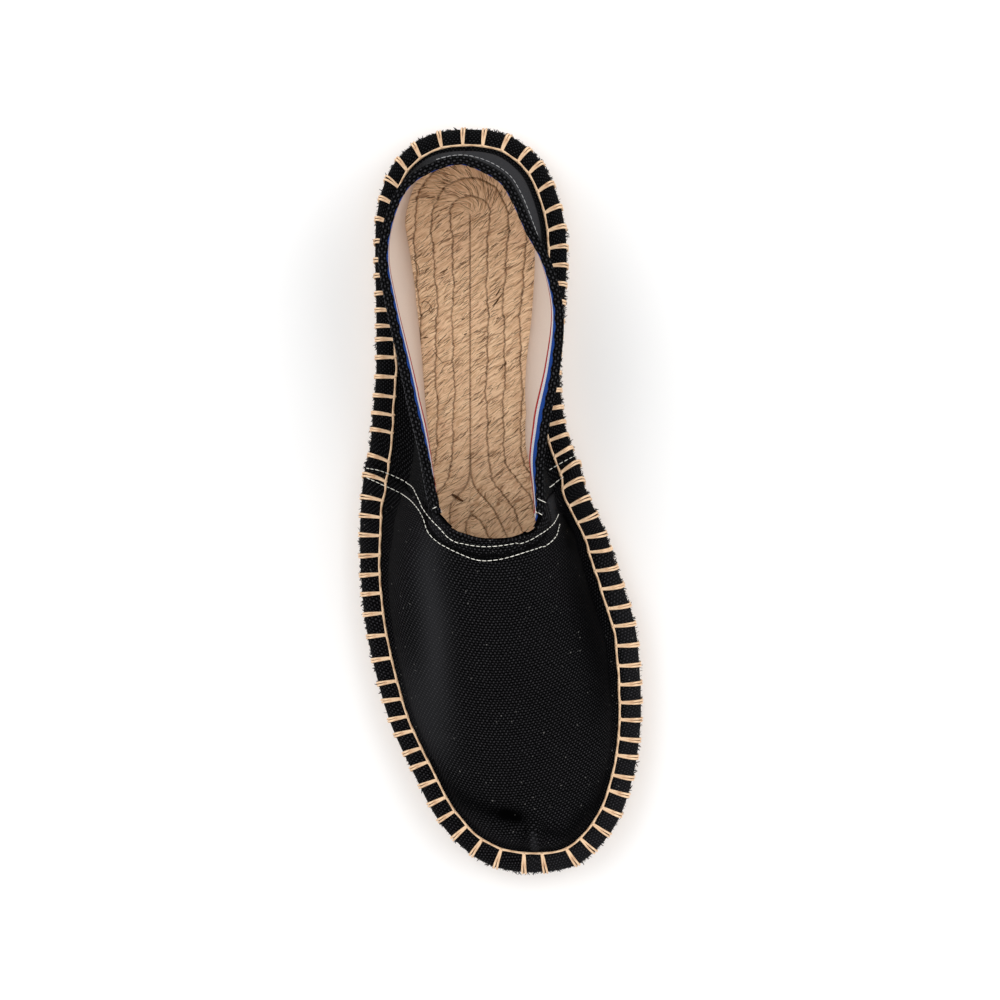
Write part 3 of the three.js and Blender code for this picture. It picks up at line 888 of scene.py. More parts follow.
@dataclass(frozen=True)
class Cloth:
    """Woven cotton: its colours, thread pitches in millimetres and how rough it is."""

    name: str
    gap: Colour
    top: Colour
    warp: float
    weft: float
    relief: float = 0.25
    roughness: float = 0.85
    specular: float = 0.012
    blotch: float = 0.12
    lint: float = 0.0
    lint_colour: Colour = (0.3, 0.29, 0.27)
    # Colour that painted light lightens towards.
    painted_light_colour: Colour = (0.036, 0.036, 0.039)

    def material(self) -> Material:
        """Builds the finish.

        Returns:
            The material, which reads the piece's lengths and its value named tone: above 0 it lightens the
            colour as painted light, below 0 it darkens it to the gap colour as painted shade.
        """
        write = FinishWriter(self.name)
        lengths = write.lengths()
        weave = write.weave(lengths, self.warp, self.weft)
        # Gap and top colours: painted shade in the weave's gaps and painted highlight on the thread crowns,
        # over the threads' own colour.
        colour = write.mix(weave.outputs["Tops"], self.gap, self.top)
        patch = write.noise(lengths, 0.05, 3.0)
        shade = write.mix(write.ramp(patch, 0.35, 0.75), colour, (0.0, 0.0, 0.0))
        colour = write.mix(self.blotch, colour, shade)
        # Painted light where tone is above 0, painted shade where it is below 0.
        tone = write.value("tone")
        colour = write.mix(write.math("MAXIMUM", tone, 0.0), colour, self.painted_light_colour)
        colour = write.mix(write.math("MAXIMUM", write.math("MULTIPLY", tone, -1.0), 0.0), colour, self.gap)
        specks = write.ramp(write.noise(lengths, 0.9, 0.0), 0.825, 0.85)
        colour = write.mix(write.math("MULTIPLY", specks, self.lint), colour, self.lint_colour)
        return write.finish(colour, weave.outputs["Height"], self.relief, self.roughness, self.specular)


@dataclass(frozen=True)
class Strand:
    """Twine and fibre: two colours that alternate as the plies twist."""

    name: str
    dark: Colour
    light: Colour
    ply: float = 1.4
    roughness: float = 0.7
    specular: float = 0.3
    relief: float = 0.1

    def material(self) -> Material:
        """Builds the finish.

        Returns:
            The material, which reads how far along and round the strand a point lies.
        """
        write = FinishWriter(self.name)
        plies = write.math("DIVIDE", write.value("along"), self.ply * MM)
        turn = write.math("MULTIPLY", write.value("turn"), 5.0)
        twist = write.math("ADD", turn, write.math("MULTIPLY", plies, 0.35))
        streaks = write.add("ShaderNodeCombineXYZ", {0: write.math("MULTIPLY", plies, 0.3), 1: twist})
        grain = write.noise(streaks.outputs[0], 1.6, 3.0)
        patch = write.noise(write.places(), 260.0)
        share = write.ramp(write.math("ADD", grain, write.math("MULTIPLY", patch, 0.35)), 0.42, 0.78)
        colour = write.mix(share, self.dark, self.light)
        return write.finish(colour, grain, self.relief, self.roughness, self.specular)


def sweep_tree() -> bpy.types.NodeTree:
    """Builds the Geometry Nodes tree that turns paths into round strands.

    Returns:
        A tree with inputs Radius, Sides and Material.
    """
    name = "strand_sweep"
    if name in bpy.data.node_groups:
        return bpy.data.node_groups[name]
    inputs = {"Geometry": "Geometry", "Radius": "Float", "Sides": "Int", "Material": "Material"}
    write = GroupWriter(name, "GeometryNodeTree", inputs, {"Geometry": "Geometry"})
    size = {"Resolution": write.given["Sides"], "Radius": write.given["Radius"]}
    ring = write.add("GeometryNodeCurvePrimitiveCircle", size, mode="RADIUS").outputs["Curve"]
    marked = []
    for label, line, reading in (("along", write.given["Geometry"], "Length"), ("turn", ring, "Factor")):
        place = write.add("GeometryNodeSplineParameter").outputs[reading]
        stored = {"Geometry": line, "Name": label, "Value": place}
        node = write.add("GeometryNodeStoreNamedAttribute", stored, data_type="FLOAT", domain="POINT")
        marked.append(node.outputs[0])
    parts = {"Curve": marked[0], "Profile Curve": marked[1], "Fill Caps": True}
    sweep = write.add("GeometryNodeCurveToMesh", parts)
    if "Scale" in sweep.inputs:
        thickness = write.add("GeometryNodeInputRadius").outputs[0]
        write.tree.links.new(thickness, sweep.inputs["Scale"])
    return write.close(sweep.outputs[0])


def stitch_tree() -> bpy.types.NodeTree:
    """Builds the Geometry Nodes tree that lays a row of stitches along paths.

    Returns:
        A tree with inputs Pitch, Stitch, Radius and Material.
    """
    name = "stitch_row"
    if name in bpy.data.node_groups:
        return bpy.data.node_groups[name]
    inputs = {"Geometry": "Geometry", "Pitch": "Float", "Stitch": "Float", "Radius": "Float"}
    inputs["Material"] = "Material"
    write = GroupWriter(name, "GeometryNodeTree", inputs, {"Geometry": "Geometry"})
    row = {"Curve": write.given["Geometry"], "Length": write.given["Pitch"]}
    points = write.add("GeometryNodeCurveToPoints", row, mode="LENGTH").outputs
    bead = write.add("GeometryNodeMeshUVSphere", {"Segments": 8, "Rings": 6, "Radius": 1.0}).outputs["Mesh"]
    wide, half = write.given["Radius"], write.math("MULTIPLY", write.given["Stitch"], 0.5)
    size = write.add("ShaderNodeCombineXYZ", {0: wide, 1: wide, 2: half}).outputs[0]
    uneven = write.add("FunctionNodeRandomValue", {"Seed": 4, 2: 0.85, 3: 1.1}, data_type="FLOAT").outputs[1]
    scale = write.add("ShaderNodeVectorMath", {0: size, "Scale": uneven}, operation="SCALE").outputs[0]
    laid = {"Points": points["Points"], "Instance": bead, "Rotation": points["Rotation"], "Scale": scale}
    return write.close(write.add("GeometryNodeInstanceOnPoints", laid).outputs[0])


def from_paths(
    name: str,
    paths: list[Array],
    tree: bpy.types.NodeTree,
    settings: dict[str, object],
    material: Material,
    radii: list[Array] | None = None,
) -> Object:
    """Runs a Geometry Nodes tree over paths and keeps the result as a plain mesh.

    Args:
        name: the piece's name.
        paths: point lists in millimetres.
        tree: the tree to run.
        settings: its inputs by name.
        material: the finish that the tree sets.
        radii: for each path, the share of the full radius at each point.

    Returns:
        The piece, at the origin.
    """
    curve = bpy.data.curves.new(name + "_paths", "CURVE")
    curve.dimensions = "3D"
    for number, path in enumerate(paths):
        spline = curve.splines.new("POLY")
        spline.points.add(len(path) - 1)
        spline.points.foreach_set("co", np.column_stack([path * MM, np.ones(len(path))]).ravel())
        if radii is not None:
            spline.points.foreach_set("radius", radii[number])
    source = bpy.data.objects.new(name + "_source", curve)
    bpy.context.scene.collection.objects.link(source)
    modifier = source.modifiers.new("make", "NODES")
    modifier.node_group = tree
    values = {**settings, "Material": material}
    for item in tree.interface.items_tree:
        if item.item_type == "SOCKET" and item.in_out == "INPUT" and item.name in values:
            modifier[item.identifier] = values[item.name]
    graph = bpy.context.evaluated_depsgraph_get()
    mesh = bpy.data.meshes.new_from_object(source.evaluated_get(graph), depsgraph=graph)
    bpy.data.objects.remove(source)
    mesh.name = name
    mesh.polygons.foreach_set("use_smooth", [True] * len(mesh.polygons))
    if not mesh.materials:
        mesh.materials.append(material)
    made = bpy.data.objects.new(name, mesh)
    bpy.context.scene.collection.objects.link(made)
    return made


BLACK_CANVAS = Cloth("black_canvas", (0.0003, 0.0003, 0.0004), (0.034, 0.033, 0.036), 0.705, 0.975, lint=0.35)
QUARTER_CANVAS = Cloth("quarter_canvas", (0.0004, 0.0004, 0.0005), (0.028, 0.028, 0.030), 0.72, 0.86)
LINING_COTTON = Cloth(
    "lining_cotton", (0.70, 0.59, 0.51), (0.80, 0.68, 0.60), 0.45, 0.45, relief=0.05, specular=0.1, blotch=0.03
)
TAPE_COTTON = Cloth("tape_cotton", (0.0006, 0.0006, 0.0007), (0.036, 0.036, 0.039), 1.15, 1.15, relief=0.2)
TWINE = Strand("beige_twine", linear(176, 132, 96), linear(240, 208, 172))
STITCH_THREAD = Strand("pale_thread", linear(205, 202, 190), linear(245, 243, 232))
GREY_THREAD = Strand("grey_thread", linear(120, 120, 122), linear(190, 190, 190))
DARK_THREAD = Strand("dark_thread", linear(44, 44, 47), linear(84, 84, 88))
FRAY = Strand("black_fibre", (0.004, 0.004, 0.004), (0.02, 0.02, 0.022))
JUTE_FIBRE = Strand("jute_fibre", linear(120, 84, 52), linear(225, 192, 150), ply=9.0)
DARK_FIBRE = Strand("dark_jute_fibre", linear(58, 38, 22), linear(110, 76, 46), ply=9.0)

# Row of the station table, inset of the lining's foot on the lateral and on the medial side
LINING_FEET = np.array(
    [
        (0.0, 8.9, 8.9),
        (4.0, 10.0, 9.8),
        (5.0, 12.8, 11.9),
        (6.0, 15.8, 11.5),
        (7.0, 18.0, 11.2),
        (8.0, 20.6, 13.7),
        (9.0, 22.4, 16.0),
        (10.0, 23.6, 17.6),
        (11.0, 26.6, 18.7),
        (13.0, 24.0, 17.0),
        (22.0, 12.0, 12.0),
    ]
)

# Where the bars of the blanket stitch meet the fold, in pixels of the photograph, from the heel round
BAR_PIXELS = [
    (241, 146), (262, 137), (283, 134), (303, 134), (322, 139), (340, 148), (352, 160), (361, 179),
    (366, 201), (370, 219), (372, 237), (376, 255), (380, 273), (384, 291), (386, 309), (387, 326),
    (386, 343), (384, 361), (382, 379), (379, 397), (376, 413), (375, 428), (380, 443), (383, 460),
    (389, 475), (397, 492), (403, 510), (410, 526), (416, 541), (423, 559), (430, 577), (434, 597),
    (439, 615), (441, 635), (443, 655), (444, 674), (444, 692), (444, 709), (443, 728), (441, 745),
    (437, 765), (432, 780), (426, 798), (415, 814), (402, 828), (387, 837), (363, 842), (345, 842),
    (322, 839), (302, 830), (286, 817), (273, 802), (262, 789), (252, 772), (243, 754), (236, 740),
    (229, 722), (224, 707), (219, 689), (214, 671), (208, 648), (203, 625), (199, 603), (196, 583),
    (193, 564), (191, 545), (189, 525), (188, 506), (188, 488), (188, 466), (189, 446), (190, 419),
    (192, 402), (193, 384), (194, 365), (195, 346), (196, 328), (197, 315), (198, 299), (199, 282),
    (200, 265), (201, 250), (203, 231), (206, 211), (212, 192), (219, 175), (228, 159),
]

# Rows of machine stitches, in pixels of the photograph
TOPSTITCH_PIXELS = [
    [(190, 458), (200, 460), (220, 468), (235, 476), (240, 485), (250, 505), (262, 518), (275, 529),
     (300, 535), (330, 533), (350, 527), (370, 514), (376, 505)],
    [(190, 468), (200, 473), (220, 482), (235, 492), (245, 507), (250, 520), (262, 532), (280, 542),
     (300, 549), (320, 548), (345, 541), (362, 535), (374, 525), (377, 515)],
    [(370, 459), (393, 446)],
    [(367, 477), (383, 467)],
]
TACK_PIXELS = [
    [(358, 488), (362, 490), (366, 492)],
    [(359, 502), (362, 504), (366, 506)],
    [(253, 498), (255, 497), (257, 496)],
]
HAIR_PIXELS = [
    [(237, 301), (243, 305), (250, 302), (255, 294), (254, 288)],
    [(239, 309), (243, 303), (249, 299), (252, 304)],
    [(241, 292), (246, 290), (251, 295), (253, 303)],
    [(253, 339), (258, 346), (263, 352)],
    [(232, 247), (238, 254), (240, 264)],
    [(268, 230), (273, 226), (281, 224)],
    [(252, 360), (262, 352), (272, 349)],
]
SPECK_PIXELS = [
    [(282, 309), (286, 307)], [(284, 324), (288, 322)], [(243, 327), (249, 326)], [(317, 308), (320, 306)],
    [(313, 295), (318, 289), (323, 282)], [(316, 285), (321, 277)], [(260, 262), (268, 258)],
]
STRAY_PIXELS = [[(356, 841), (355, 846), (358, 851), (354, 856)]]
# A dark strand laid as painted shadow in the gap where the insole's lanes fork.
GAP_SHADOW_PIXELS = [[(272, 484), (275, 485), (279, 488), (284, 491)]]
TACK_RADIUS = 0.13
HAIR_RADIUS = 0.10
SPECK_RADIUS = 0.22
GAP_SHADOW_RADIUS = 0.55
STRAY_RADIUS = 0.26

# Creases of the worn canvas: points of the plan, lift in millimetres and half width
CREASES = (
    Crease(((-23, -10), (-24, -26), (-22, -44), (-16, -66)), -1.1, 5.0),
    Crease(((-31, -12), (-32, -28), (-30, -44)), 0.9, 5.0),
    Crease(((24, -9), (27, -22), (31, -40), (33, -56)), 0.9, 3.5),
    Crease(((33, -12), (37, -30), (40, -50)), -1.0, 4.5),
    Crease(((13.3, -118), (13.5, -123), (13.6, -131)), 1.9, 1.5),
    Crease(((0, -115), (5, -118), (10.0, -120)), -2.4, 3.2),
    Crease(((10.4, -118), (10.6, -124), (10.8, -130)), -1.4, 1.6),
    Crease(((16.5, -119), (18, -124), (25, -125)), -1.8, 2.2),
    Crease(((-34, 30), (-35, 10)), -0.8, 5.0),
)

# Painted light (above 0) and painted shade (below 0) on the vamp's slopes, creases, walls and medial corner:
# points of the plan, amount and half width
VAMP_LIGHT_AND_SHADE = (
    Crease(((-22, -6), (-24, -24), (-22, -46), (-22, -66), (-20, -86)), 0.42, 5.5),
    Crease(((-33, -60), (-28, -80), (-18, -98)), 0.25, 6.0),
    Crease(((24, -4), (29, -24), (34, -46), (38, -66), (38, -86)), -0.85, 6.0),
    Crease(((-26, -100), (-12, -112), (2, -117), (12, -118)), -0.7, 3.4),
    Crease(((0, -116), (5, -117), (10, -119)), -1.0, 3.0),
    Crease(((15, -123), (26, -124), (36, -112), (41, -98)), -0.7, 3.0),
    Crease(((13.4, -121), (13.6, -126), (13.8, -131)), 0.35, 0.7),
    Crease(((16.5, 4), (19, 0), (20.5, -6), (21.5, -12)), 0.5, 1.6),
    Crease(((23.5, -2), (25, -10), (27.5, -20)), -0.6, 2.0),
)


@dataclass
class CanvasUpper:
    """Vamp, quarter and lining, with their rows of stitches."""

    skin: Skin
    quarter_thickness: float = 0.75
    lining_thickness: float = 0.5
    lining_steps: int = 30
    lining_gap: float = 0.15
    lining_sink: float = 0.3
    hem_band: float = 6.6
    hem_lift: float = 0.3
    # Depth of the painted shadow just below the hem's stitches.
    hem_painted_shadow: float = 0.7
    warp_lean: float = 0.147
    weft_bow: float = 0.0085
    place_width: float = 0.55
    quarter_under: int = 14

    def __post_init__(self) -> None:
        """Measures how far each point of the skin lies from the throat edge."""
        skin = self.skin
        share = np.linspace(0, 1, 260)
        edge = skin.form.throat_curve.at(share)
        run = running_length(edge)
        tree = search_tree(edge)
        found = [tree.find(point)[1:] for point in skin.points.reshape(-1, 3).tolist()]
        numbers, distances = np.array(found, float).T
        size = skin.points.shape[:2]
        self.from_throat = distances.reshape(size)
        self.along_throat = np.stack([run[numbers.astype(int)].reshape(size), -self.from_throat], axis=-1)

    def tones(self, marks: tuple[Crease, ...]) -> Array:
        """Returns: how much painted light (above 0) or painted shade (below 0) each point of the skin gets."""
        plan = self.skin.points[:, :, :2]
        return np.clip(sum(mark.press(plan) for mark in marks), -1, 1)

    def lengths(self) -> Array:
        """Lays the cloth flat.

        Returns:
            Texture lengths of the skin, from the wall's end outwards.
        """
        skin = self.skin
        plan = skin.points[:, :, :2]
        end = plan[:, -1:]
        away = unit(plan[:, skin.fold] - plan[:, -1])[:, None, :]
        flat = end + away * skin.from_top[:, :, None]
        aside = np.abs(flat[..., 0])
        bow = self.weft_bow * np.where(aside < 22, aside**2, 44 * aside - 484)
        drawn = np.stack([flat[..., 0] + self.warp_lean * flat[..., 1], flat[..., 1] - bow], axis=-1)
        flat = np.where((self.from_throat < self.hem_band)[..., None], self.along_throat, drawn)
        around = np.repeat(skin.around()[:, None], skin.steps, axis=1)
        wall = np.stack([around, -skin.from_top], axis=-1)
        numbers = np.arange(skin.count)
        vamp = ((numbers >= skin.first_vamp) & (numbers <= skin.last_vamp))[:, None, None]
        return np.where(vamp, flat, wall)

    def shell(self, name: str, columns: Array, outer: Array, inner: Array, uv: Array) -> Piece:
        """Makes a closed sheet between two offsets of the skin.

        Args:
            name: the piece's name.
            columns: place numbers that it covers, in order.
            outer: offset of its outer face by place and step.
            inner: offset of its inner face.
            uv: texture lengths by place and step.

        Returns:
            The piece.
        """
        skin = self.skin
        size = skin.count * skin.steps
        outer_points = skin.points + skin.normals * outer[:, :, None]
        inner_points = skin.points + skin.normals * inner[:, :, None]
        ids, under = skin.ids[columns], skin.ids[columns] + size
        faces = [grid_faces(ids), grid_faces(under, flip=True)]
        on_ridge = skin.rows[columns] >= THROAT_ROW
        faces.append(strip_faces(ids[:, 0], under[:, 0], flip=True))
        faces.append(strip_faces(ids[:, -1], under[:, -1])[~(on_ridge[:-1] & on_ridge[1:])])
        for column, flip in ((0, False), (-1, True)):
            faces.append(strip_faces(ids[column], under[column], flip=flip))
        points = np.concatenate([outer_points.reshape(-1, 3), inner_points.reshape(-1, 3)])
        return Piece(name, points, faces, np.concatenate([uv.reshape(-1, 2)] * 2))

    def vamp(self) -> Object:
        """Builds the vamp.

        Returns:
            The vamp, a layer above the quarter, with its turned hem along the throat.
        """
        skin = self.skin
        columns = np.arange(skin.first_vamp, skin.last_vamp + 1)
        numbers = np.arange(skin.count)
        from_side = np.minimum(numbers - skin.first_vamp, skin.last_vamp - numbers)
        from_side = np.clip(from_side, 0, None)[:, None] * self.place_width
        throat = skin.rows[:, None] <= THROAT_ROW + 0.6
        band = 1 - smooth_step(self.hem_band - 0.9, self.hem_band, self.from_throat)
        side_band = 1 - smooth_step(self.hem_band - 1.2, self.hem_band, from_side)
        hem = np.maximum(band, side_band * smooth_step(skin.fold, skin.foot, np.arange(skin.steps))[None, :])
        top_edge = np.where(throat, smooth_step(-0.6, 1.2, skin.from_top), 1)
        edge = np.minimum(smooth_step(-0.5, 1.2, from_side), top_edge)
        outer = VAMP_LAP * (0.45 + 0.55 * edge) + self.hem_lift * hem * edge
        inner = np.full_like(outer, 0.05)
        piece = self.shell("vamp_canvas", columns, outer, inner, self.lengths())
        # Tone: the vamp's painted light and shade, a painted shadow just below the hem's second stitch row, and
        # painted light on the medial flange.
        shadow_under_hem = np.exp(-(((self.from_throat - self.hem_band - 0.5) / 0.8) ** 2)) * self.hem_painted_shadow
        flange = smooth_step(skin.fold + 1, skin.fold - 2, np.arange(skin.steps))[None, :]
        medial = smooth_step(12, 15, skin.rows) * (skin.sides > 0)
        tone = self.tones(VAMP_LIGHT_AND_SHADE) * (1 - flange) - shadow_under_hem + 0.12 * flange * medial[:, None]
        piece.values["tone"] = np.tile(np.clip(tone, -1, 1).ravel(), 2)
        return settle(piece.build(BLACK_CANVAS.material()), "canvas_upper")

    def quarter(self) -> Object:
        """Builds the quarter.

        Returns:
            The quarter, from one side of the vamp round the heel to the other.
        """
        skin = self.skin
        under = self.quarter_under
        numbers = np.arange(skin.last_vamp - under, skin.count + skin.first_vamp + under + 1) % skin.count
        covered = (np.arange(skin.count) >= skin.first_vamp) & (np.arange(skin.count) <= skin.last_vamp)
        outer = np.where(covered[:, None], -0.05, 0.0) * np.ones((skin.count, skin.steps))
        inner = outer - self.quarter_thickness
        around = np.repeat(skin.around()[:, None], skin.steps, axis=1)
        uv = np.stack([around, -skin.from_top], axis=-1)
        piece = self.shell("quarter_canvas", numbers, outer, inner, uv)
        # Tone: lighter grey on the heel wall, partly painted sheen where the wall catches the light and partly
        # the smoother heel cloth's own grey.
        wall = smooth_step(skin.foot - 2, skin.foot + 4, np.arange(skin.steps))[None, :]
        side = np.where(skin.sides > 0, 1, 1 - smooth_step(0, 2.0, skin.rows))
        heel = (1 - smooth_step(3.6, 5.6, skin.rows)) * side
        piece.values["tone"] = np.tile((0.85 * wall * heel[:, None]).ravel(), 2)
        return settle(piece.build(QUARTER_CANVAS.material()), "canvas_upper")

    def keep_inside(self, face: Array) -> Array:
        """Moves points of the lining that come through the canvas back inside it.

        Args:
            face: the lining's points by place and step.

        Returns:
            The points, at least the wall's thickness inside the skin.
        """
        skin = self.skin
        faces = grid_faces(skin.ids, closed=True)
        tree = BVHTree.FromPolygons(skin.points.reshape(-1, 3).tolist(), faces.tolist())
        margin = WALL + self.lining_gap
        moved = face.reshape(-1, 3).copy()
        for number, point in enumerate(moved):
            near, normal, _, _ = tree.find_nearest(Vector(point))
            inside = -(Vector(point) - near).dot(normal)
            if inside < margin and point[2] > FOLD_HEIGHT + 1.0:
                moved[number] = point - np.array(normal) * (margin - inside)
        return moved.reshape(face.shape)

    def lining(self) -> Object:
        """Builds the lining.

        Returns:
            The cotton lining, from under the tape down on to the braid.
        """
        skin = self.skin
        form, rows, sides, steps = skin.form, skin.rows, skin.sides, self.lining_steps
        share = np.linspace(0, 1, steps)
        inset, floor = WALL + self.lining_gap, ROPE_TOP - self.lining_sink
        lateral, medial = (np.interp(rows, LINING_FEET[:, 0], LINING_FEET[:, column]) for column in (1, 2))
        tuck = np.where(sides < 0, form.wall_value(1, rows), form.wall_value(2, rows)) * BALL_WIDTH
        feet = np.maximum(np.where(sides < 0, lateral, medial), tuck + WALL + self.lining_thickness + 0.3)
        foot = form.outline(rows, sides) + form.inward(rows, sides) * feet[:, None]
        foot[:, 2] = floor + spring(foot[:, 1])
        top = skin.points[:, -1] - skin.normals[:, -1] * inset
        down = skin.points[:, -4] - skin.normals[:, -4] * inset - top
        rise = top[:, 2:] - foot[:, 2:]
        fall = unit(unit(down) * 0.6 + unit(foot - top) * 0.8)
        upper = top + fall * 0.34 * rise
        lower = foot + np.array((0, 0, 1.0)) * 0.36 * rise
        free = bezier([foot, lower, upper, top], share)
        throat = smooth_step(10.02, 10.5, rows) * (1 - smooth_step(13.0, 14.2, rows))
        short = np.array([skin.step_below(number, 7.0) for number in range(skin.count)])
        last = (skin.steps - 1) * (1 - throat) + short * throat
        wall_step = skin.foot + share[None, :] * (last - skin.foot)[:, None]
        place = np.repeat(np.arange(skin.count)[:, None], steps, axis=1)
        close = skin.at(place, wall_step, -inset)
        skirt = smooth_step(0.0, 0.12, share)[None, :]
        close[:, :, 2] = close[:, :, 2] * skirt + (floor + spring(close[:, :, 1])) * (1 - skirt)
        loose = (1 - smooth_step(9.6, 10.9, rows))[:, None, None]
        face = self.keep_inside(free * loose + close * (1 - loose))
        run = np.roll(face, -1, axis=0) - np.roll(face, 1, axis=0)
        normals = unit(np.cross(run, np.gradient(face, axis=1)))
        back = face + normals * self.lining_thickness
        ids = np.arange(skin.count * steps).reshape(skin.count, steps)
        under = ids + skin.count * steps
        faces = [grid_faces(ids, closed=True, flip=True), grid_faces(under, closed=True)]
        faces.append(strip_faces(ids[:, 0], under[:, 0], closed=True))
        faces.append(strip_faces(ids[:, -1], under[:, -1], closed=True, flip=True))
        around = np.repeat(skin.around()[:, None], steps, axis=1)
        uv = np.stack([around, running_length(face)], axis=-1).reshape(-1, 2)
        points = np.concatenate([face.reshape(-1, 3), back.reshape(-1, 3)])
        self.lining_face = face
        piece = Piece("cotton_lining", points, faces, np.concatenate([uv, uv]))
        return settle(piece.build(LINING_COTTON.material()), "canvas_upper")


@dataclass
class CollarTrim:
    """The ribbed tape round the opening and the striped ribbon sewn under it."""

    skin: Skin
    leg: float = 4.2
    inner_leg: float = 1.3
    thickness: float = 0.6
    stand: float = 0.42
    rib_pitch: float = 1.6
    rib_height: float = 0.05
    scallop: float = 0.2
    scallop_pitch: float = 2.9
    scallop_drift: float = 7.0
    column_step: float = 0.4
    ribbon_width: float = 6.8
    ribbon_stand: float = 1.3
    ribbon_tuck: int = 11
    heel_before: int = 68
    heel_after: int = 11
    heel_rows: tuple[tuple[float, float], ...] = ((0.5, 2.6), (1.7, 8.5))
    side_ends: tuple[int, int] = (70, 4)
    side_row: tuple[float, float] = (-2.0, -0.15)

    def path(self) -> Array:
        """Paces out the collar.

        Returns:
            Place numbers from the medial corner round the heel to the lateral corner.
        """
        skin = self.skin
        top = skin.points[:, -1]
        numbers = np.arange(skin.last_vamp, skin.count + skin.first_vamp + 1)
        ring = top[numbers % skin.count]
        length = running_length(ring)
        wanted = np.arange(0, length[-1], self.column_step)
        self.along = wanted
        return np.interp(wanted, length, numbers)

    def section(self, places: Array, down: Array, lift: Array) -> Array:
        """Places a section of the collar.

        Args:
            places: place numbers along the collar.
            down: for each point of the section, how far it lies below the wall's end.
            lift: for each place and point, how far outside the skin it lies.

        Returns:
            Points by place and by section point.
        """
        skin = self.skin
        distances = skin.from_top[:, ::-1]
        steps = np.empty((len(places), len(down)))
        numbers = np.arange(skin.steps)
        for row, place in enumerate(places):
            near = distances[int(round(place)) % skin.count]
            steps[row] = skin.steps - 1 - np.interp(np.maximum(down, 0), near, numbers)
        points = skin.at(places[:, None], steps, lift)
        top = skin.at(places, np.full(len(places), skin.steps - 1.001))
        below = skin.at(places, np.full(len(places), skin.steps - 3.0))
        up = unit(top - below)
        return points + up[:, None, :] * np.maximum(-down, 0)[None, :, None]

    def tape(self) -> Object:
        """Builds the tape.

        Returns:
            The folded tape, thin ribs across it.
        """
        places = self.path()
        rib = np.abs(np.sin(math.pi * self.along / self.rib_pitch)) ** 0.7 * self.rib_height
        drift = np.sin(self.along / self.scallop_drift)
        scallop = np.sin(math.pi * self.along / self.scallop_pitch + drift)
        outer_lift, inner_lift = self.stand, 0.15 - WALL
        middle, half = (outer_lift + inner_lift) / 2, (outer_lift - inner_lift) / 2
        turn = np.linspace(0, math.pi, 9)
        legs = np.linspace(self.leg, 0.4, 7)
        inner_legs = np.linspace(0.3, self.inner_leg, 7)
        sections = []
        for extra in (self.thickness, 0.0):
            radius = half + extra
            down = np.concatenate([legs, -np.sin(turn) * radius * 0.75, inner_legs])
            arc = middle + np.cos(turn) * radius
            ends = np.clip((self.leg - legs) / 1.0, 0.25, 1) if extra else np.ones(len(legs))
            first = outer_lift + extra * ends
            last = inner_lift - extra * ends[::-1]
            sign = np.concatenate([np.ones(len(legs)), np.cos(turn), -np.ones(len(legs))])
            ribs = rib[:, None] * sign[None, :] if extra else 0
            lifts = np.concatenate([first, arc, last])[None, :] + ribs
            if extra:
                lifts = lifts - self.scallop * scallop[:, None] * np.maximum(-sign, 0)[None, :]
            sections.append(self.section(places, down, lifts))
        loop = np.concatenate([sections[0], sections[1][:, ::-1]], axis=1)
        count, size = loop.shape[:2]
        ids = np.arange(count * size).reshape(count, size)
        wrapped = np.concatenate([ids, ids[:, :1]], axis=1)
        faces = [grid_faces(wrapped, flip=True)]
        half_size = size // 2
        for column, flip in ((0, True), (-1, False)):
            faces.append(strip_faces(ids[column, :half_size], ids[column, : half_size - 1 : -1], flip=flip))
        across = running_length(loop[count // 2])
        uv = np.stack(np.broadcast_arrays(self.along[:, None], across[None, :]), axis=-1).reshape(-1, 2)
        self.surface = (loop.reshape(-1, 3), faces[0])
        piece = Piece("collar_tape", loop.reshape(-1, 3), faces, uv)
        return settle(piece.build(TAPE_COTTON.material()), "collar_binding")

    def stitch_row(self, first: float, last: float, away: float, furthest: float, lift: float = 0.2) -> Array:
        """Lays a path beside the tape.

        Args:
            first: place number where it starts.
            last: place number where it ends.
            away: distance outside the tape's edge, as seen from above.
            furthest: most that it may lie below the tape's edge on a steep wall.
            lift: distance off the skin.

        Returns:
            The path's points.
        """
        skin = self.skin
        places = np.linspace(first, last, 90)
        out = -skin.form.inward(skin.rows, skin.sides)[:, :2]
        spread = ((skin.points[:, :, :2] - skin.points[:, -1:, :2]) * out[:, None, :]).sum(-1)[:, ::-1]
        steps = []
        for place in places:
            number = int(round(place)) % skin.count
            edge = np.interp(self.leg, skin.from_top[number][::-1], spread[number])
            edge = edge + self.stand + self.thickness
            down = np.interp(edge + away, np.maximum.accumulate(spread[number]), np.arange(skin.steps))
            lowest = skin.steps - 1 - skin.step_below(number, self.leg + furthest)
            steps.append(skin.steps - 1 - min(down, lowest))
        return skin.at(places, np.array(steps), lift)

    def heel_stitches(self) -> list[Array]:
        """Returns: the two rows of stitches under the tape round the heel."""
        first, last = self.skin.count - self.heel_before, self.skin.count + self.heel_after
        return [self.stitch_row(first, last, *row) for row in self.heel_rows]

    def side_stitches(self) -> list[Array]:
        """Returns: the row of stitches on the tape's lateral edge."""
        first, last = self.side_ends[0], self.skin.first_vamp - self.side_ends[1]
        return [self.stitch_row(first, last, *self.side_row, self.stand + self.thickness)]

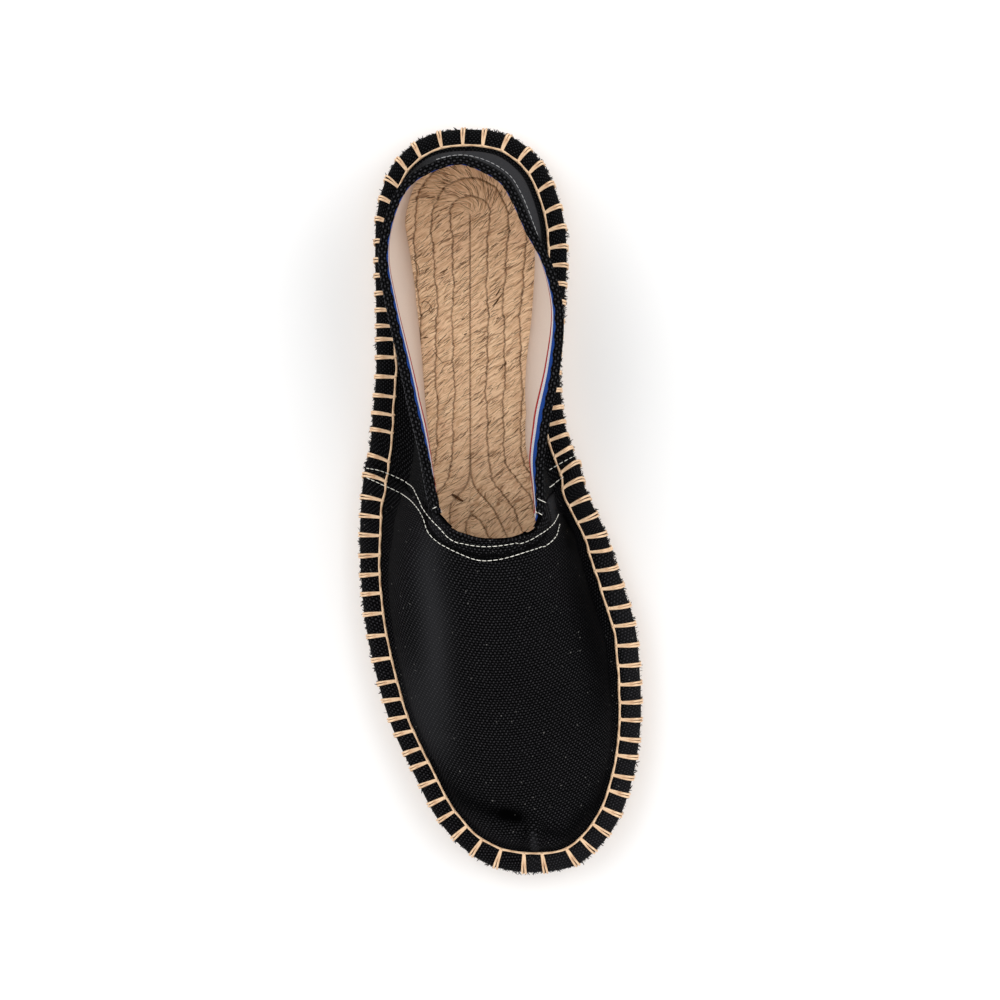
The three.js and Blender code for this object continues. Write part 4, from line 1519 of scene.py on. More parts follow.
    def ribbon(self, lining: Array) -> Object:
        """Builds the ribbon.

        Args:
            lining: the lining's face, by place and by step.

        Returns:
            The striped ribbon, a thin band on the lining just under the tape.
        """
        skin = self.skin
        first = skin.last_vamp - self.ribbon_tuck
        numbers = np.arange(first, skin.count + skin.first_vamp + 2) % skin.count
        face = lining[numbers]
        down = running_length(face[:, ::-1])
        wanted = np.linspace(1.2, self.ribbon_width + 2.0, 16)
        narrow = np.interp(skin.rows[numbers], (0, 4, 5.3, 6, 7, 8), (0.22, 0.34, 0.42, 0.5, 0.75, 1.0))
        reverse = face[:, ::-1]
        points = np.empty((len(numbers), len(wanted), 3))
        for row in range(len(numbers)):
            for axis in range(3):
                points[row, :, axis] = np.interp(wanted * narrow[row], down[row], reverse[row, :, axis])
        corner = skin.last_vamp - numbers[0]
        ends = skin.points[numbers[: corner + 1], -1]
        inside = (points[corner, 0] - ends[-1]) * np.linspace(0, 1, corner + 1)[:, None] ** 2
        inside[:, 2] -= 0.25
        points[:corner] = (ends + inside)[:corner, None, :] + (points[corner] - points[corner, 0])[None, :, :]
        normals = unit(np.cross(np.gradient(points, axis=0), np.gradient(points, axis=1)))
        inward = -skin.normals[numbers, -1][:, None, :]
        normals = normals * np.sign((normals * inward).sum(-1, keepdims=True))
        rise = np.linspace(0, 1, len(wanted))[None, :] ** 1.3 * narrow[:, None] ** 2
        ease = 0.4 + self.ribbon_stand * rise[..., None]
        front = points + normals * ease
        back = points + normals * 0.05
        count, size = front.shape[:2]
        ids = np.arange(count * size).reshape(count, size)
        under = ids + count * size
        faces = [grid_faces(ids), grid_faces(under, flip=True)]
        for row, flip in ((0, True), (-1, False)):
            faces.append(strip_faces(ids[:, row], under[:, row], flip=flip))
        for column, flip in ((0, False), (-1, True)):
            faces.append(strip_faces(ids[column], under[column], flip=flip))
        around = skin.around()[numbers]
        uv = np.stack(np.broadcast_arrays(around[:, None], wanted[None, :]), axis=-1).reshape(-1, 2)
        shell = np.concatenate([front.reshape(-1, 3), back.reshape(-1, 3)])
        piece = Piece("striped_ribbon", shell, faces, np.concatenate([uv, uv]))
        return settle(piece.build(RibbonFinish().material()), "")


@dataclass(frozen=True)
class RibbonFinish:
    """Three woven stripes along the ribbon, set by the distance below the collar's edge."""

    blue: Colour = linear(40, 84, 172)
    white: Colour = linear(242, 241, 244)
    red: Colour = linear(200, 60, 60)
    blue_end: float = 4.9
    white_end: float = 7.3
    red_end: float = 8.8
    warp: float = 0.4
    weft: float = 0.55
    gap_shade: float = 0.55
    relief: float = 0.1
    roughness: float = 0.8
    specular: float = 0.05

    def material(self) -> Material:
        """Builds the finish.

        Returns:
            The material, which reads the piece's lengths.
        """
        write = FinishWriter("striped_ribbon")
        lengths = write.lengths()
        down = write.add("ShaderNodeSeparateXYZ", {0: lengths}).outputs[1]
        colour: Colour | Socket = self.blue
        stripes = ((self.blue_end, self.white), (self.white_end, self.red), (self.red_end, LINING_COTTON.top))
        for end, following in stripes:
            colour = write.mix(write.math("GREATER_THAN", down, end), colour, following)
        weave = write.weave(lengths, self.warp, self.weft)
        shade = write.mix(write.ramp(weave.outputs["Tops"], 0.0, 0.8), (self.gap_shade,) * 3, (1.0,) * 3)
        colour = write.mix(1.0, colour, shade, "MULTIPLY")
        return write.finish(colour, weave.outputs["Height"], self.relief, self.roughness, self.specular)


class PhotoRays:
    """Finds where a pixel of the photograph meets a surface."""

    def __init__(self, points: Array, faces: Array, view: PhotoView) -> None:
        """Args: points and faces, the surface; view, where the picture was taken from."""
        self.view = view
        self.tree = BVHTree.FromPolygons(points.tolist(), faces.tolist())

    def hit(self, pixel: tuple[float, float], lift: float) -> Array | None:
        """Follows the ray of a pixel.

        Args:
            pixel: where the ray passes through the picture.
            lift: distance off the surface.

        Returns:
            The point behind the pixel, or None where the surface is missed.
        """
        eye = Vector(self.view.eye)
        target = Vector(self.view.floor([pixel])[0])
        point, normal, _, _ = self.tree.ray_cast(eye, (target - eye).normalized())
        if point is None:
            return None
        normal = np.array(normal)
        if normal[2] < 0:
            normal = -normal
        return np.array(point) + normal * lift

    def path(self, pixels: Polyline, lift: float, step: float = 0.8) -> Array:
        """Lays a smooth path on the skin.

        Args:
            pixels: the corners of the path in the photograph.
            lift: distance off the skin.
            step: spacing of the points in millimetres.

        Returns:
            The path's points.
        """
        flat = np.column_stack([np.array(pixels, float), np.zeros(len(pixels))])
        fine = Spline(flat).at(np.linspace(0, 1, 24 * len(pixels)))[:, :2]
        found = [self.hit(tuple(pixel), lift) for pixel in fine]
        points = np.array([point for point in found if point is not None])
        length = running_length(points)
        wanted = np.arange(0, length[-1], step)
        return np.column_stack([np.interp(wanted, length, points[:, axis]) for axis in range(3)])


def strokes(
    name: str, rays: PhotoRays, rows: list[Polyline], radius: float, finish: Strand
) -> Object:
    """Lays short threads where they show in the photograph.

    Args:
        name: the piece's name.
        rays: the surface that they lie on.
        rows: their corners, in pixels.
        radius: of the thread.
        finish: the thread's colours.

    Returns:
        The piece.
    """
    paths = [rays.path(pixels, radius * 0.9, 0.35) for pixels in rows]
    radii = [0.35 + 0.65 * np.sin(np.linspace(0.15, math.pi - 0.15, len(path))) ** 0.6 for path in paths]
    settings = {"Radius": radius * MM, "Sides": 6}
    return settle(from_paths(name, paths, sweep_tree(), settings, finish.material(), radii), "")


@dataclass
class InsoleFibres:
    """Fine pale and dark fibres that lie across the insole's strands."""

    sole: "RopeSole"
    dark: int = 1500
    pale: int = 800
    radius: float = 0.09
    seed: int = 21

    def direction(self, plan: Array) -> Array:
        """Finds how the strands lie.

        Args:
            plan: a point of the plan.

        Returns:
            The way along the strands there.
        """
        core = np.array(self.sole.core_heel)
        out = unit(plan - core) if plan[1] > core[1] else np.array((-1.0, 0.0))
        run = np.array((out[1], -out[0]))
        return unit(out - self.sole.lean * run)

    def lay(self) -> None:
        """Lays the fibres as two pieces."""
        generator = np.random.default_rng(self.seed)
        points, faces = self.sole.surface
        tree = BVHTree.FromPolygons(points.tolist(), faces.tolist())
        shown = points[points[:, 1] > -15.5]
        batches = (("dark_fibres", self.dark, DARK_FIBRE), ("pale_fibres", self.pale, JUTE_FIBRE))
        for name, count, finish in batches:
            paths, radii = [], []
            for start in shown[generator.integers(0, len(shown), count)]:
                way = self.direction(start[:2])
                turn = generator.normal(0.05, 0.17)
                cosine, sine = math.cos(turn), math.sin(turn)
                way = np.array((way[0] * cosine - way[1] * sine, way[0] * sine + way[1] * cosine))
                length = generator.uniform(2.4, 7.0)
                bend = generator.normal(0, 0.05) * length
                share = np.linspace(-0.5, 0.5, 6)
                bow = np.array((-way[1], way[0])) * (bend * (1 - 4 * share**2))[:, None]
                plan = start[:2] + way * (share * length)[:, None] + bow
                found = [tree.ray_cast(Vector((x, y, 40.0)), Vector((0, 0, -1)))[0] for x, y in plan]
                if any(point is None for point in found):
                    continue
                path = np.array([tuple(point) for point in found])
                path[:, 2] += 0.04 - 0.12 * (2 * np.abs(share)) ** 3
                paths.append(path)
                radii.append(generator.uniform(0.55, 1.15) * np.array((0.4, 0.9, 1, 1, 0.9, 0.4)))
            settings = {"Radius": self.radius * MM, "Sides": 4}
            settle(from_paths(name, paths, sweep_tree(), settings, finish.material(), radii), "")


@dataclass
class BlanketStitch:
    """The heavy twine that binds the canvas to the rope sole."""

    skin: Skin
    bar_radius: float = 0.43
    line_radius: float = 0.46
    spread: float = 0.98
    lift: float = 0.36

    def places(self) -> list[float]:
        """Finds the bars of the photograph on the fold.

        Returns:
            The place number of each bar.
        """
        view = PhotoView()
        fold_height = FOLD_HEIGHT + 0.4
        points = view.plan(np.array(BAR_PIXELS), fold_height)
        return [self.skin.nearest(point, self.skin.fold) for point in points]

    def bars(self) -> Object:
        """Sews the bars.

        Returns:
            The bars, each two strands that run from the fold round the frayed edge.
        """
        skin = self.skin
        generator = np.random.default_rng(5)
        around = skin.around()
        paths, radii = [], []
        for place in self.places():
            number = int(place)
            before, after = np.interp((number - 1, number + 1), np.arange(skin.count), around)
            per_mm = 2 / max(after - before, 0.2)
            inward = skin.form.inward(skin.rows[[number]], skin.sides[[number]])[0]
            foot = skin.at(np.array([place]), np.array([float(skin.fold)]))[0]
            across = skin.nearest((foot - inward * FLANGE_WIDTH)[:2], 0) - place
            across = (across + skin.count / 2) % skin.count - skin.count / 2
            lean = generator.normal(0, 0.25)
            for strand in (-1, 1):
                steps = np.linspace(skin.fold + 0.6, 0, 16)
                share = np.linspace(0, 1, 16)
                apart = 0.35 + 0.65 * np.sin(np.clip(share * 1.6, 0, 1) * math.pi * 0.5)
                side = strand * self.spread * 0.5 * apart + lean * share
                lift = self.lift + 0.12 * np.sin(share * math.pi) + 0.25 * (share > 0.5) * (share - 0.5)
                ring = place + across * share + side * per_mm
                points = skin.at(ring, steps, lift + skin.cover(ring))
                tail = points[-1] + np.array([[0, 0, -0.5], [0, 0, -1.0]]) + inward * np.array([[0.5], [1.6]])
                paths.append(np.concatenate([points, tail]))
                radii.append(np.ones(len(points) + 2) * generator.uniform(0.9, 1.08))
        settings = {"Radius": self.bar_radius * MM, "Sides": 7}
        made = from_paths("blanket_stitch_bars", paths, sweep_tree(), settings, TWINE.material(), radii)
        return settle(made, "")

    def running_line(self) -> Object:
        """Sews the line between the bars.

        Returns:
            The strand that links the bars along the fold, with a knot at each.
        """
        skin = self.skin
        places = sorted(self.places())
        paths, radii = [], []
        ring = np.array(places + [places[0] + skin.count])
        generator = np.random.default_rng(8)
        for first, second in zip(ring, ring[1:]):
            share = np.linspace(-0.04, 1.04, 14)
            place = first + (second - first) * share
            sag = np.sin(np.clip(share, 0, 1) * math.pi) * generator.uniform(-0.5, 0.7)
            step = skin.fold + 0.75 + sag * 0.35
            lift = self.lift + 0.15 - 0.1 * np.sin(np.clip(share, 0, 1) * math.pi)
            paths.append(skin.at(place, step, lift + skin.cover(place)))
            radii.append(0.85 + 0.3 * np.abs(np.clip(share, 0, 1) - 0.5) * 2)
        for place in places:
            turn = np.linspace(0, 1, 7)
            height = self.lift + 0.35 + float(skin.cover(place))
            knot = skin.at(place + np.linspace(-0.4, 0.4, 7), skin.fold + 1.0 - 0.9 * turn, height)
            paths.append(knot)
            radii.append(1.05 * np.sin(np.linspace(0.3, math.pi - 0.3, 7)) ** 0.4)
        settings = {"Radius": self.line_radius * MM, "Sides": 7}
        made = from_paths("blanket_stitch_line", paths, sweep_tree(), settings, TWINE.material(), radii)
        return settle(made, "")


@dataclass
class SewingRows:
    """Machine stitches on the canvas."""

    rays: PhotoRays
    pitch: float = 2.05
    length: float = 1.8
    radius: float = 0.145

    def vamp_rows(self, rows: list[Polyline], lift: float = 1.25) -> Object:
        """Returns: rows of stitches along pixels of the photograph, this far above the quarter's face."""
        paths = [self.rays.path(pixels, lift) for pixels in rows]
        return self.row("throat_topstitching", paths, STITCH_THREAD)

    def row(self, name: str, paths: list[Array], finish: Strand) -> Object:
        """Lays rows of stitches.

        Args:
            name: the piece's name.
            paths: the rows.
            finish: the thread.

        Returns:
            The piece.
        """
        settings = {"Pitch": self.pitch * MM, "Stitch": self.length * MM, "Radius": self.radius * MM}
        made = from_paths(name, paths, stitch_tree(), settings, finish.material())
        return settle(made, "")


@dataclass
class RopeSole:
    """The braided jute sole: the insole that shows inside and the plaited side."""

    form: LastForm
    row_fine: float = 0.36
    row_coarse: float = 1.3
    fine_from: float = -16.0
    columns: int = 178
    edge_inset: float = 7.2
    core_heel: tuple[float, float] = (-11.2, 107.6)
    core_waist: tuple[float, float] = (-11.0, -60.0)
    core_depth: float = 33.0
    fork: tuple[float, float] = (-11.4, 5.5)
    fork_round: float = 2.2
    blend: float = 1.5
    groove_depth: float = 0.4
    groove_width: float = 0.34
    crown: float = 0.42
    strand_pitch: float = 3.2
    strand_relief: float = 0.14
    lean: float = 0.7
    wander: tuple[tuple[float, float], ...] = ((47.0, 0.9), (19.0, 0.6), (8.3, 0.4), (3.3, 0.28), (1.7, 0.2))
    hole: tuple[float, float] = (-16.2, 1.0)
    hole_depth: float = 0.7
    hole_width: float = 1.3
    roughness: float = 0.035
    side_columns: int = 1240
    side_rows: int = 34
    plait_pitch: float = 3.5

    def rim(self, y: Array) -> tuple[Array, Array]:
        """Reads the outline across the sole.

        Args:
            y: places along the sole.

        Returns:
            The lateral and the medial edge there.
        """
        share = np.linspace(0, 1, 3001)
        curve = self.form.outline_curve.at(share)
        half = len(curve) // 2
        lateral, medial = curve[:half], curve[half:][::-1]
        order = np.argsort(lateral[:, 1]), np.argsort(medial[:, 1])
        left = np.interp(y, lateral[order[0], 1], lateral[order[0], 0])
        right = np.interp(y, medial[order[1], 1], medial[order[1], 0])
        return left, right

    def depth(self, plan: Array) -> Array:
        """Measures from the outline inwards.

        Args:
            plan: points of the plan.

        Returns:
            Each point's distance from the outline.
        """
        ring = self.form.outline_curve.at(np.linspace(0, 1, 1200, endpoint=False))
        sides = []
        for part in (ring[:600], ring[600:]):
            tree = search_tree(part)
            found = [tree.find((x, y, 0))[2] for x, y in plan.reshape(-1, 2)]
            sides.append(np.array(found).reshape(plan.shape[:-1]))
        low, high = np.minimum(*sides), np.maximum(*sides)
        return low - self.blend * np.log1p(np.exp((low - high) / self.blend))

    def fork_lanes(self, plan: Array) -> Array:
        """Returns: distance from the sides of the fork where the middle lanes part, negative inside."""
        across = np.sqrt((plan[..., 0] - self.fork[0]) ** 2 + self.fork_round**2) - 0.4 * self.fork_round
        return (across + plan[..., 1] - self.fork[1]) * math.sqrt(0.5)

    def insole(self) -> Object:
        """Builds the insole.

        Returns:
            The top of the braid, a relief of lanes, grooves and leaning strands.
        """
        heel, toe = 0.5 * LENGTH - self.edge_inset - 0.4, -0.5 * LENGTH + self.edge_inset + 0.8
        fine = np.arange(heel, self.fine_from, -self.row_fine)
        coarse = np.arange(fine[-1] - self.row_coarse, toe, -self.row_coarse)
        y = np.concatenate([fine, coarse, [toe]])
        left, right = self.rim(y)
        middle, half = (left + right) / 2, (right - left) / 2
        from_ends = ((0.5 * LENGTH - y) / 60, (0.5 * LENGTH + y) / 60)
        nose = np.minimum(*(smooth_step(0, 0.28, share) for share in from_ends))
        half = np.maximum(half - self.edge_inset - 2.0 * (1 - nose), 1.5)
        share = np.linspace(-1, 1, self.columns)
        x = middle[:, None] + half[:, None] * share[None, :]
        plan = np.stack([x, np.repeat(y[:, None], self.columns, axis=1)], axis=-1)
        depth = self.depth(plan)
        heel_core, waist_core = np.array(self.core_heel), np.array(self.core_waist)
        run = waist_core - heel_core
        along = np.clip(((plan - heel_core) @ run) / (run @ run), 0, 1)
        from_core = np.linalg.norm(plan - (heel_core + along[..., None] * run), axis=-1)
        fork, rim = self.fork_lanes(plan), self.core_depth - depth - 14 * smooth_step(-8, 26, plan[..., 1])
        forked = from_core - 2.0 * np.log1p(np.exp((from_core - fork) / 2.0))
        lane = forked + 1.5 * np.log1p(np.exp((rim - forked) / 1.5))
        lane = np.where(plan[..., 1] > 60, from_core, lane)
        generator = np.random.default_rng(3)
        wave = np.zeros_like(lane)
        pitch = LANE_WIDTH * (1 + 0.1 * smooth_step(70, 105, plan[..., 1]))
        lane_turn = 1.7 * np.round(lane / pitch)
        for length, size in self.wander:
            turn = generator.uniform(0, 2 * math.pi, 2)
            wave += size * np.sin(2 * math.pi * plan[..., 1] / length + turn[0] + lane_turn)
        lane = lane / pitch + 0.065 * wave * smooth_step(0, 0.5, np.abs(lane / pitch))
        number = np.floor(lane)
        inside = lane - number
        to_groove = np.minimum(inside, 1 - inside) * LANE_WIDTH
        radius = (number + 0.5) * LANE_WIDTH
        bearing = np.arctan2(plan[..., 1] - heel_core[1], -(plan[..., 0] - heel_core[0]))
        loop = plan[..., 1] > heel_core[1]
        medial = plan[..., 0] > heel_core[0]
        run_on = np.where(loop, heel_core[1] + radius * np.clip(bearing, 0, math.pi), plan[..., 1])
        run_back = heel_core[1] + math.pi * radius + (heel_core[1] - plan[..., 1])
        run_on = np.where(~loop & medial, run_back, run_on)
        across = (inside - 0.5) * LANE_WIDTH
        bend = generator.uniform(0, 1, 64)[np.clip(number.astype(int) + 20, 0, 63)]
        phase = (run_on + self.lean * across) / self.strand_pitch + bend + 0.12 * wave
        strand = np.abs(np.sin(math.pi * phase)) ** 0.8
        groove = np.exp(-((to_groove / self.groove_width) ** 2))
        crown = self.crown * (1 - (2 * inside - 1) ** 2)
        relief = self.strand_relief * strand * (1 - 0.6 * groove)
        height = ROPE_TOP - 0.45 + crown - self.groove_depth * groove + relief
        hole = np.exp(-((np.linalg.norm(plan - np.array(self.hole), axis=-1) / self.hole_width) ** 2))
        height = height - self.hole_depth * hole
        rough = generator.normal(0, 1, lane.shape)
        rough = (rough + np.roll(rough, 1, 0) + np.roll(rough, 1, 1) + np.roll(rough, (1, 1), (0, 1))) / 4
        height = height + self.roughness * rough
        height = height + spring(plan[..., 1])
        top = np.concatenate([plan, height[..., None]], axis=-1)
        count, size = top.shape[:2]
        ids = np.arange(count * size).reshape(count, size)
        faces = [grid_faces(ids)]
        cosine = 1 / math.hypot(1, self.lean)
        u = (run_on + self.lean * across) * cosine
        v = (across - self.lean * run_on) * cosine + 13.0 * number
        uv = np.stack([u, v], axis=-1).reshape(-1, 2)
        skirt = top.copy()
        skirt[..., 2] = ROPE_TOP - 3.0 + spring(plan[..., 1])
        edge = np.concatenate([ids[0, :-1], ids[:-1, -1], ids[-1, :0:-1], ids[:0:-1, 0]])
        under = edge + count * size
        faces.append(strip_faces(edge, under, closed=True, flip=True))
        points = np.concatenate([top.reshape(-1, 3), skirt.reshape(-1, 3)])
        piece = Piece("jute_insole", points, faces, np.concatenate([uv, uv]))
        below = np.zeros(count * size)
        piece.values["groove"] = np.concatenate([groove.ravel(), below])
        piece.values["strand"] = np.concatenate([strand.ravel(), below])
        self.surface = (top.reshape(-1, 3), faces[0])
        return settle(piece.build(JuteFinish("jute_insole").material()), "jute_sole")

    def side(self) -> Object:
        """Builds the rest of the braid.

        Returns:
            The sole's plaited side, its underside and the ledge under the canvas.
        """
        outline, count = self.form.outline_curve, self.side_columns
        share = np.arange(count) / count
        ring = outline.at(share)
        run = unit(outline.at(share + 0.0005) - outline.at(share - 0.0005))
        inward = np.column_stack([-run[:, 1], run[:, 0], 0 * share])
        length = running_length(ring)
        total, pair = length[-1] + np.linalg.norm(ring[0] - ring[-1]), 2 * self.plait_pitch
        around = length * (round(length[-1] / pair) * pair / total)
        rows = self.side_rows
        height = np.linspace(0, 1, rows)
        band = np.abs(np.sin(math.pi * np.clip(height * 2.0, 0, 2)))
        bulge = 1.7 * band**0.55
        level = ROPE_BOTTOM + 0.1 + (FOLD_HEIGHT - 2.6 - ROPE_BOTTOM) * height
        within = (height * 2.0) % 1.0
        chevron = np.abs(within - 0.5) * 6.2
        upper = np.where(height < 0.5, 0.0, self.plait_pitch)
        phase = (around[:, None] + upper[None, :] + 1.15 * chevron[None, :]) / self.plait_pitch
        strand = np.abs(np.sin(math.pi * phase)) ** 0.6
        inset = 2.1 - bulge[None, :] + 0.55 * (1 - strand) * band[None, :] ** 0.5
        ledge = smooth_step(0.72, 0.98, height)
        inset = inset + 2.2 * ledge[None, :] ** 2
        points = ring[:, None, :] + inward[:, None, :] * inset[:, :, None]
        points[:, :, 2] = level[None, :]
        inner = np.stack([ring + inward * inset_mm for inset_mm in (5.0, 8.8)], axis=1)
        inner[:, 0, 2], inner[:, 1, 2] = level[-1] + 0.2, ROPE_TOP - 1.5
        below = np.stack([ring + inward * inset_mm for inset_mm in (9.0, 3.0)], axis=1)
        below[:, :, 2] = ROPE_BOTTOM
        points = np.concatenate([below, points, inner], axis=1)
        points[:, :, 2] += spring(points[:, :, 1])
        size = points.shape[1]
        ids = np.arange(count * size).reshape(count, size)
        faces = [grid_faces(ids, closed=True)]
        uv_u = np.repeat(around[:, None], size, axis=1)
        uv_v = np.repeat(np.linspace(0, size * 0.42, size)[None, :], count, axis=0)
        uv = np.stack([uv_u, uv_v], axis=-1).reshape(-1, 2)
        piece = Piece("jute_sole_side", points.reshape(-1, 3), faces, uv)
        groove = np.zeros((count, size))
        # Painted shade between the plait's bands and between its strands, which the finish reads as groove.
        between = (1 - band[None, :]) ** 3 * np.ones((count, 1))
        groove[:, 2 : 2 + rows] = np.maximum((1 - strand) ** 2 * 0.8, between)
        relief = np.zeros((count, size))
        relief[:, 2 : 2 + rows] = strand
        piece.values = {"groove": groove.ravel(), "strand": relief.ravel()}
        return settle(piece.build(JuteFinish("jute_side").material()), "jute_sole")


@dataclass(frozen=True)
class JuteFinish:
    """Jute: strands of pale and brown fibre, with painted shade in the grooves and in the dips between strands.
    """

    name: str
    light: Colour = linear(248, 217, 180)
    middle: Colour = linear(211, 172, 134)
    blush: Colour = linear(232, 190, 160)
    dark: Colour = linear(124, 76, 40)
    groove: Colour = linear(92, 50, 20)
    stretch: float = 0.08
    relief: float = 0.16
    roughness: float = 0.75
    specular: float = 0.3

    def material(self) -> Material:
        """Builds the finish.

        Returns:
            The material, which reads lengths along and across the strands, groove and strand.
        """
        write = FinishWriter(self.name)
        lengths = write.lengths()
        push = write.add("ShaderNodeCombineXYZ", {0: write.math("MULTIPLY", write.noise(lengths, 0.16), 1.8)})
        shift = write.add("ShaderNodeVectorMath", {0: lengths, 1: push.outputs[0]}, operation="ADD")
        inputs = {"Vector": shift.outputs[0], "Scale": (1.0, self.stretch, 1.0)}
        stretched = write.add("ShaderNodeMapping", inputs).outputs[0]
        broad = write.noise(stretched, 0.55)
        fibres, fine = write.noise(stretched, 1.5, 1.0), write.noise(stretched, 2.6, 1.0)
        blotch = write.noise(lengths, 0.07, 3.0)
        groove, strand = write.value("groove"), write.value("strand")
        colour = write.mix(write.ramp(fine, 0.34, 0.62), self.middle, self.light)
        colour = write.mix(write.math("MULTIPLY", write.ramp(broad, 0.5, 0.3), 0.4), colour, self.middle)
        colour = write.mix(write.math("MULTIPLY", write.ramp(blotch, 0.5, 0.8), 0.35), colour, self.blush)
        thin = write.ramp(fibres, 0.40, 0.32)
        thick = write.ramp(broad, 0.33, 0.27)
        lines = write.math("MAXIMUM", write.math("MULTIPLY", thin, 0.6), write.math("MULTIPLY", thick, 0.45))
        colour = write.mix(lines, colour, self.dark)
        # Painted shade in the dips between the twisted strands.
        edge = write.math("MULTIPLY", write.ramp(strand, 0.34, 0.0), write.ramp(fine, 0.35, 0.6))
        colour = write.mix(write.math("MULTIPLY", edge, 0.7), colour, self.dark)
        # Painted shade in the grooves, uneven along them.
        uneven = write.math("ADD", write.math("MULTIPLY", write.ramp(fine, 0.62, 0.36), 0.8), 0.25)
        colour = write.mix(write.math("MULTIPLY", write.ramp(groove, 0.2, 0.95), uneven), colour, self.groove)
        height = write.math("ADD", fibres, write.math("MULTIPLY", fine, 0.5))
        height = write.math("SUBTRACT", height, write.math("MULTIPLY", lines, 0.5))
        return write.finish(colour, height, self.relief, self.roughness, self.specular)


@dataclass(frozen=True)
class RubberFinish:
    """Thin crepe rubber under the rope: tan, dusty, finely pebbled."""

    colour: Colour = linear(165, 131, 96)
    dust: Colour = linear(126, 106, 86)
    pebbles: float = 700.0
    relief: float = 0.15
    strength: float = 0.7
    specular: float = 0.5

    def material(self) -> Material:
        """Builds the finish.

        Returns:
            The material, which reads places on the piece itself.
        """
        write = FinishWriter("pebbled_rubber")
        places = write.places()
        inputs = {"Vector": places, "Scale": self.pebbles}
        pebble = write.add("ShaderNodeTexVoronoi", inputs).outputs["Distance"]
        dust = write.noise(places, 60.0, 5.0)
        colour = write.mix(write.math("MULTIPLY", write.ramp(dust, 0.5, 0.8), 0.6), self.colour, self.dust)
        roughness = write.math("ADD", write.math("MULTIPLY", dust, 0.25), 0.55)
        return write.finish(colour, pebble, self.relief, roughness, self.specular, self.strength)


@dataclass
class FrayedHem:
    """Loose black fibres along the cut edge of the canvas."""

    skin: Skin
    per_place: int = 3
    radius: float = 0.13
    tuft_share: float = 0.3
    tuft_radius: float = 0.3
    seed: int = 11

    def fibres(self) -> Object:
        """Pulls fibres out of the canvas edge.

        Returns:
            The fibres as one piece.
        """
        skin = self.skin
        generator = np.random.default_rng(self.seed)
        paths, radii = [], []
        for place in range(skin.count):
            ragged = 0.5 + 0.5 * math.sin(place / 9.0) * math.sin(place / 23.0 + 1.0)
            tuft = 3 if generator.uniform() < self.tuft_share * (0.4 + ragged) else 0
            for number in range(round(self.per_place * (0.3 + ragged)) + tuft):
                thick = number < tuft
                start = place + generator.uniform(0, 1)
                step, lift = generator.uniform(0, 1.6), 0.1 + skin.cover(start)
                root = skin.at(np.array([start]), np.array([step]), lift)[0]
                out = skin.normals[place, 0] * (1, 1, 0)
                tangent = np.array([-out[1], out[0], 0])
                length = generator.uniform(0.5, 1.2) + thick * generator.uniform(0.0, 0.5)
                way = out * generator.uniform(0.2 + 0.5 * thick, 1.0)
                way = way + np.array((0, 0, -1)) * generator.uniform(0.3, 1)
                way = way + tangent * generator.normal(0, 0.6)
                way = way / np.linalg.norm(way)
                curl = tangent * generator.normal(0, 0.35) + out * generator.normal(0, 0.2)
                share = np.linspace(0, 1, 4)[:, None]
                paths.append(root + way * length * share + curl * length * share**2)
                thickness = self.tuft_radius / self.radius if thick else 1
                radii.append(np.array([1.0, 0.9, 0.7, 0.3]) * thickness)
        settings = {"Radius": self.radius * MM, "Sides": 3}
        made = from_paths("frayed_hem", paths, sweep_tree(), settings, FRAY.material(), radii)
        return settle(made, "")


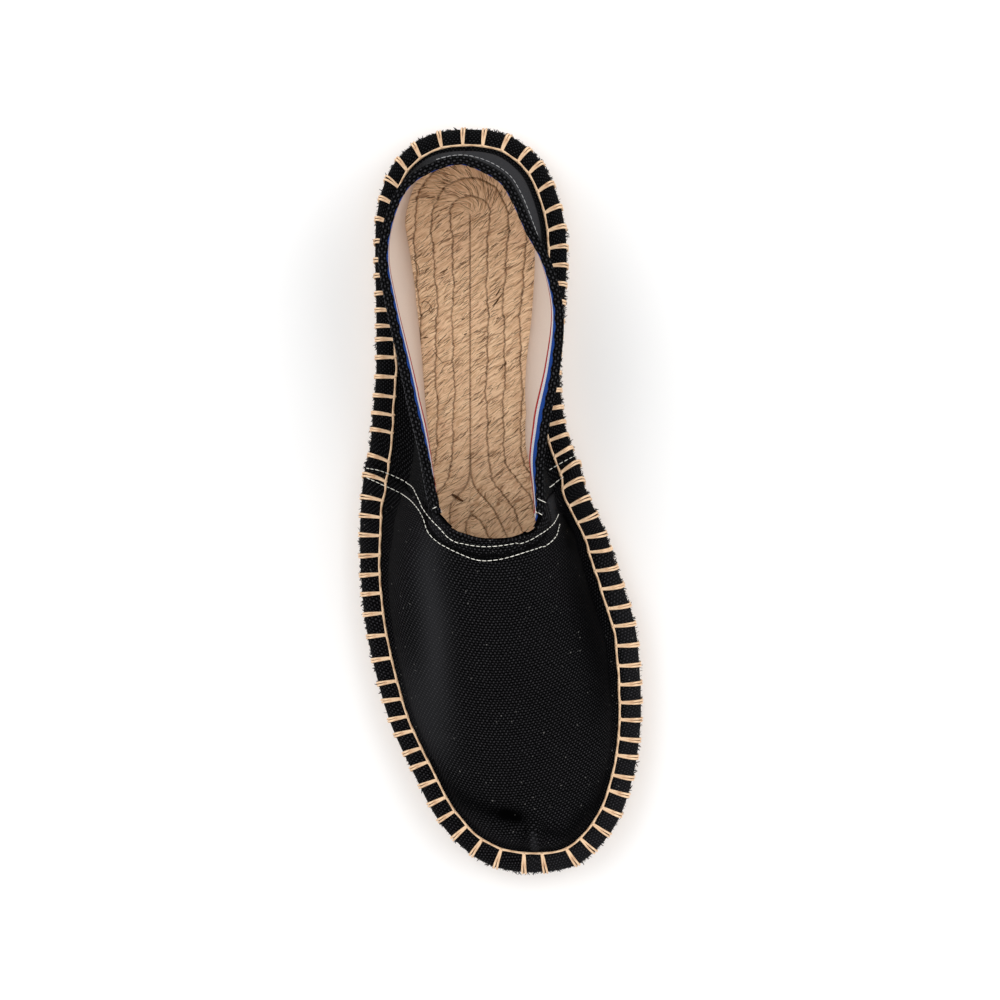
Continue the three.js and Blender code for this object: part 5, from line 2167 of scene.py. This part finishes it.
@dataclass
class Studio:
    """Pale floor, soft light from above and the camera of the photograph."""

    view: PhotoView
    floor_size: float = 3.0
    lens: float = 122.9

    def floor(self) -> None:
        """Lays the floor just under the sole."""
        half = self.floor_size / 2
        mesh = bpy.data.meshes.new("pale_floor")
        corners = [(-half, -half, 0), (half, -half, 0), (half, half, 0), (-half, half, 0)]
        mesh.from_pydata(corners, [], [(0, 1, 2, 3)])
        floor = bpy.data.objects.new("pale_floor", mesh)
        bpy.context.scene.collection.objects.link(floor)
        made = bpy.data.materials.new("pale_floor")
        made.use_nodes = True
        shader = made.node_tree.nodes["Principled BSDF"]
        shader.inputs["Base Color"].default_value = (0.88, 0.88, 0.88, 1)
        shader.inputs["Roughness"].default_value = 0.9
        shader.inputs["Specular IOR Level"].default_value = 0.1
        mesh.materials.append(made)

    def area(self, name: str, place: tuple[float, float, float], size: float, power: float) -> None:
        """Hangs a soft lamp that faces the shoe.

        Args:
            name: the lamp's name.
            place: where it hangs, in metres.
            size: its side.
            power: in watts.
        """
        data = bpy.data.lights.new(name, "AREA")
        data.shape, data.size, data.energy = "SQUARE", size, power
        lamp = bpy.data.objects.new(name, data)
        lamp.location = place
        lamp.rotation_euler = (-Vector(place)).to_track_quat("-Z", "Y").to_euler()
        bpy.context.scene.collection.objects.link(lamp)

    def light(self) -> None:
        """Sets the lamps and the white surroundings."""
        self.area("left_softbox", (-1.5, 0.7, 2.0), 2.0, 19.0)
        self.area("right_softbox", (1.7, 0.3, 1.8), 2.0, 21.0)
        world = bpy.data.worlds.new("white_room")
        world.use_nodes = True
        world.node_tree.nodes["Background"].inputs[0].default_value = (1.0, 1.0, 1.0, 1)
        world.node_tree.nodes["Background"].inputs[1].default_value = 1.0
        bpy.context.scene.world = world
        bpy.context.scene.view_settings.view_transform = "Standard"

    def camera(self) -> None:
        """Hangs the camera over the shoe, as far and as far to the side as in the photograph."""
        data = bpy.data.cameras.new("overhead_camera")
        data.lens, data.sensor_width = self.lens, 36.0
        camera = bpy.data.objects.new("overhead_camera", data)
        eye = Vector(self.view.eye) * MM
        target = Vector((0.0, 0.0, 0.013))
        back = (eye - target).normalized()
        right = Vector((0.0, 1.0, 0.0)).cross(back).normalized()
        turn = Matrix((right, back.cross(right), back)).transposed()
        camera.location = eye
        camera.rotation_euler = turn.to_euler()
        bpy.context.scene.collection.objects.link(camera)
        bpy.context.scene.camera = camera


def main() -> None:
    """Builds the shoe, its stage and camera, and reports each piece."""
    logging.basicConfig(level=logging.INFO, format="%(message)s")
    form = LastForm()
    skin = Skin(form, CREASES)
    upper = CanvasUpper(skin)
    upper.vamp()
    upper.quarter()
    upper.lining()
    trim = CollarTrim(skin)
    trim.tape()
    trim.ribbon(upper.lining_face)
    sole = RopeSole(form)
    sole.insole()
    sole.side()
    rubber = bpy.data.objects["rubber_outsole"]
    rubber.material_slots[0].material = RubberFinish().material()
    blanket = BlanketStitch(skin)
    blanket.bars()
    blanket.running_line()
    rays = PhotoRays(skin.points.reshape(-1, 3), grid_faces(skin.ids, closed=True), PhotoView())
    sewing = SewingRows(rays)
    sewing.vamp_rows(TOPSTITCH_PIXELS)
    sewing.row("collar_stitches", trim.heel_stitches(), GREY_THREAD)
    sewing.row("side_stitches", trim.side_stitches(), DARK_THREAD)
    on_tape = PhotoRays(*trim.surface, PhotoView())
    strokes("corner_tacks", on_tape, TACK_PIXELS, TACK_RADIUS, STITCH_THREAD)
    on_jute = PhotoRays(*sole.surface, PhotoView())
    strokes("loose_jute_hairs", on_jute, HAIR_PIXELS, HAIR_RADIUS, DARK_FIBRE)
    strokes("jute_specks", on_jute, SPECK_PIXELS, SPECK_RADIUS, DARK_FIBRE)
    # A thick dark strand as painted shadow in the gap where the lanes fork.
    strokes("fork_gap_shadow", on_jute, GAP_SHADOW_PIXELS, GAP_SHADOW_RADIUS, DARK_FIBRE)
    InsoleFibres(sole).lay()
    strokes("stray_twine", rays, STRAY_PIXELS, STRAY_RADIUS, TWINE)
    FrayedHem(skin).fibres()
    studio = Studio(PhotoView())
    studio.floor()
    studio.light()
    studio.camera()


if __name__ == "__main__":
    main()
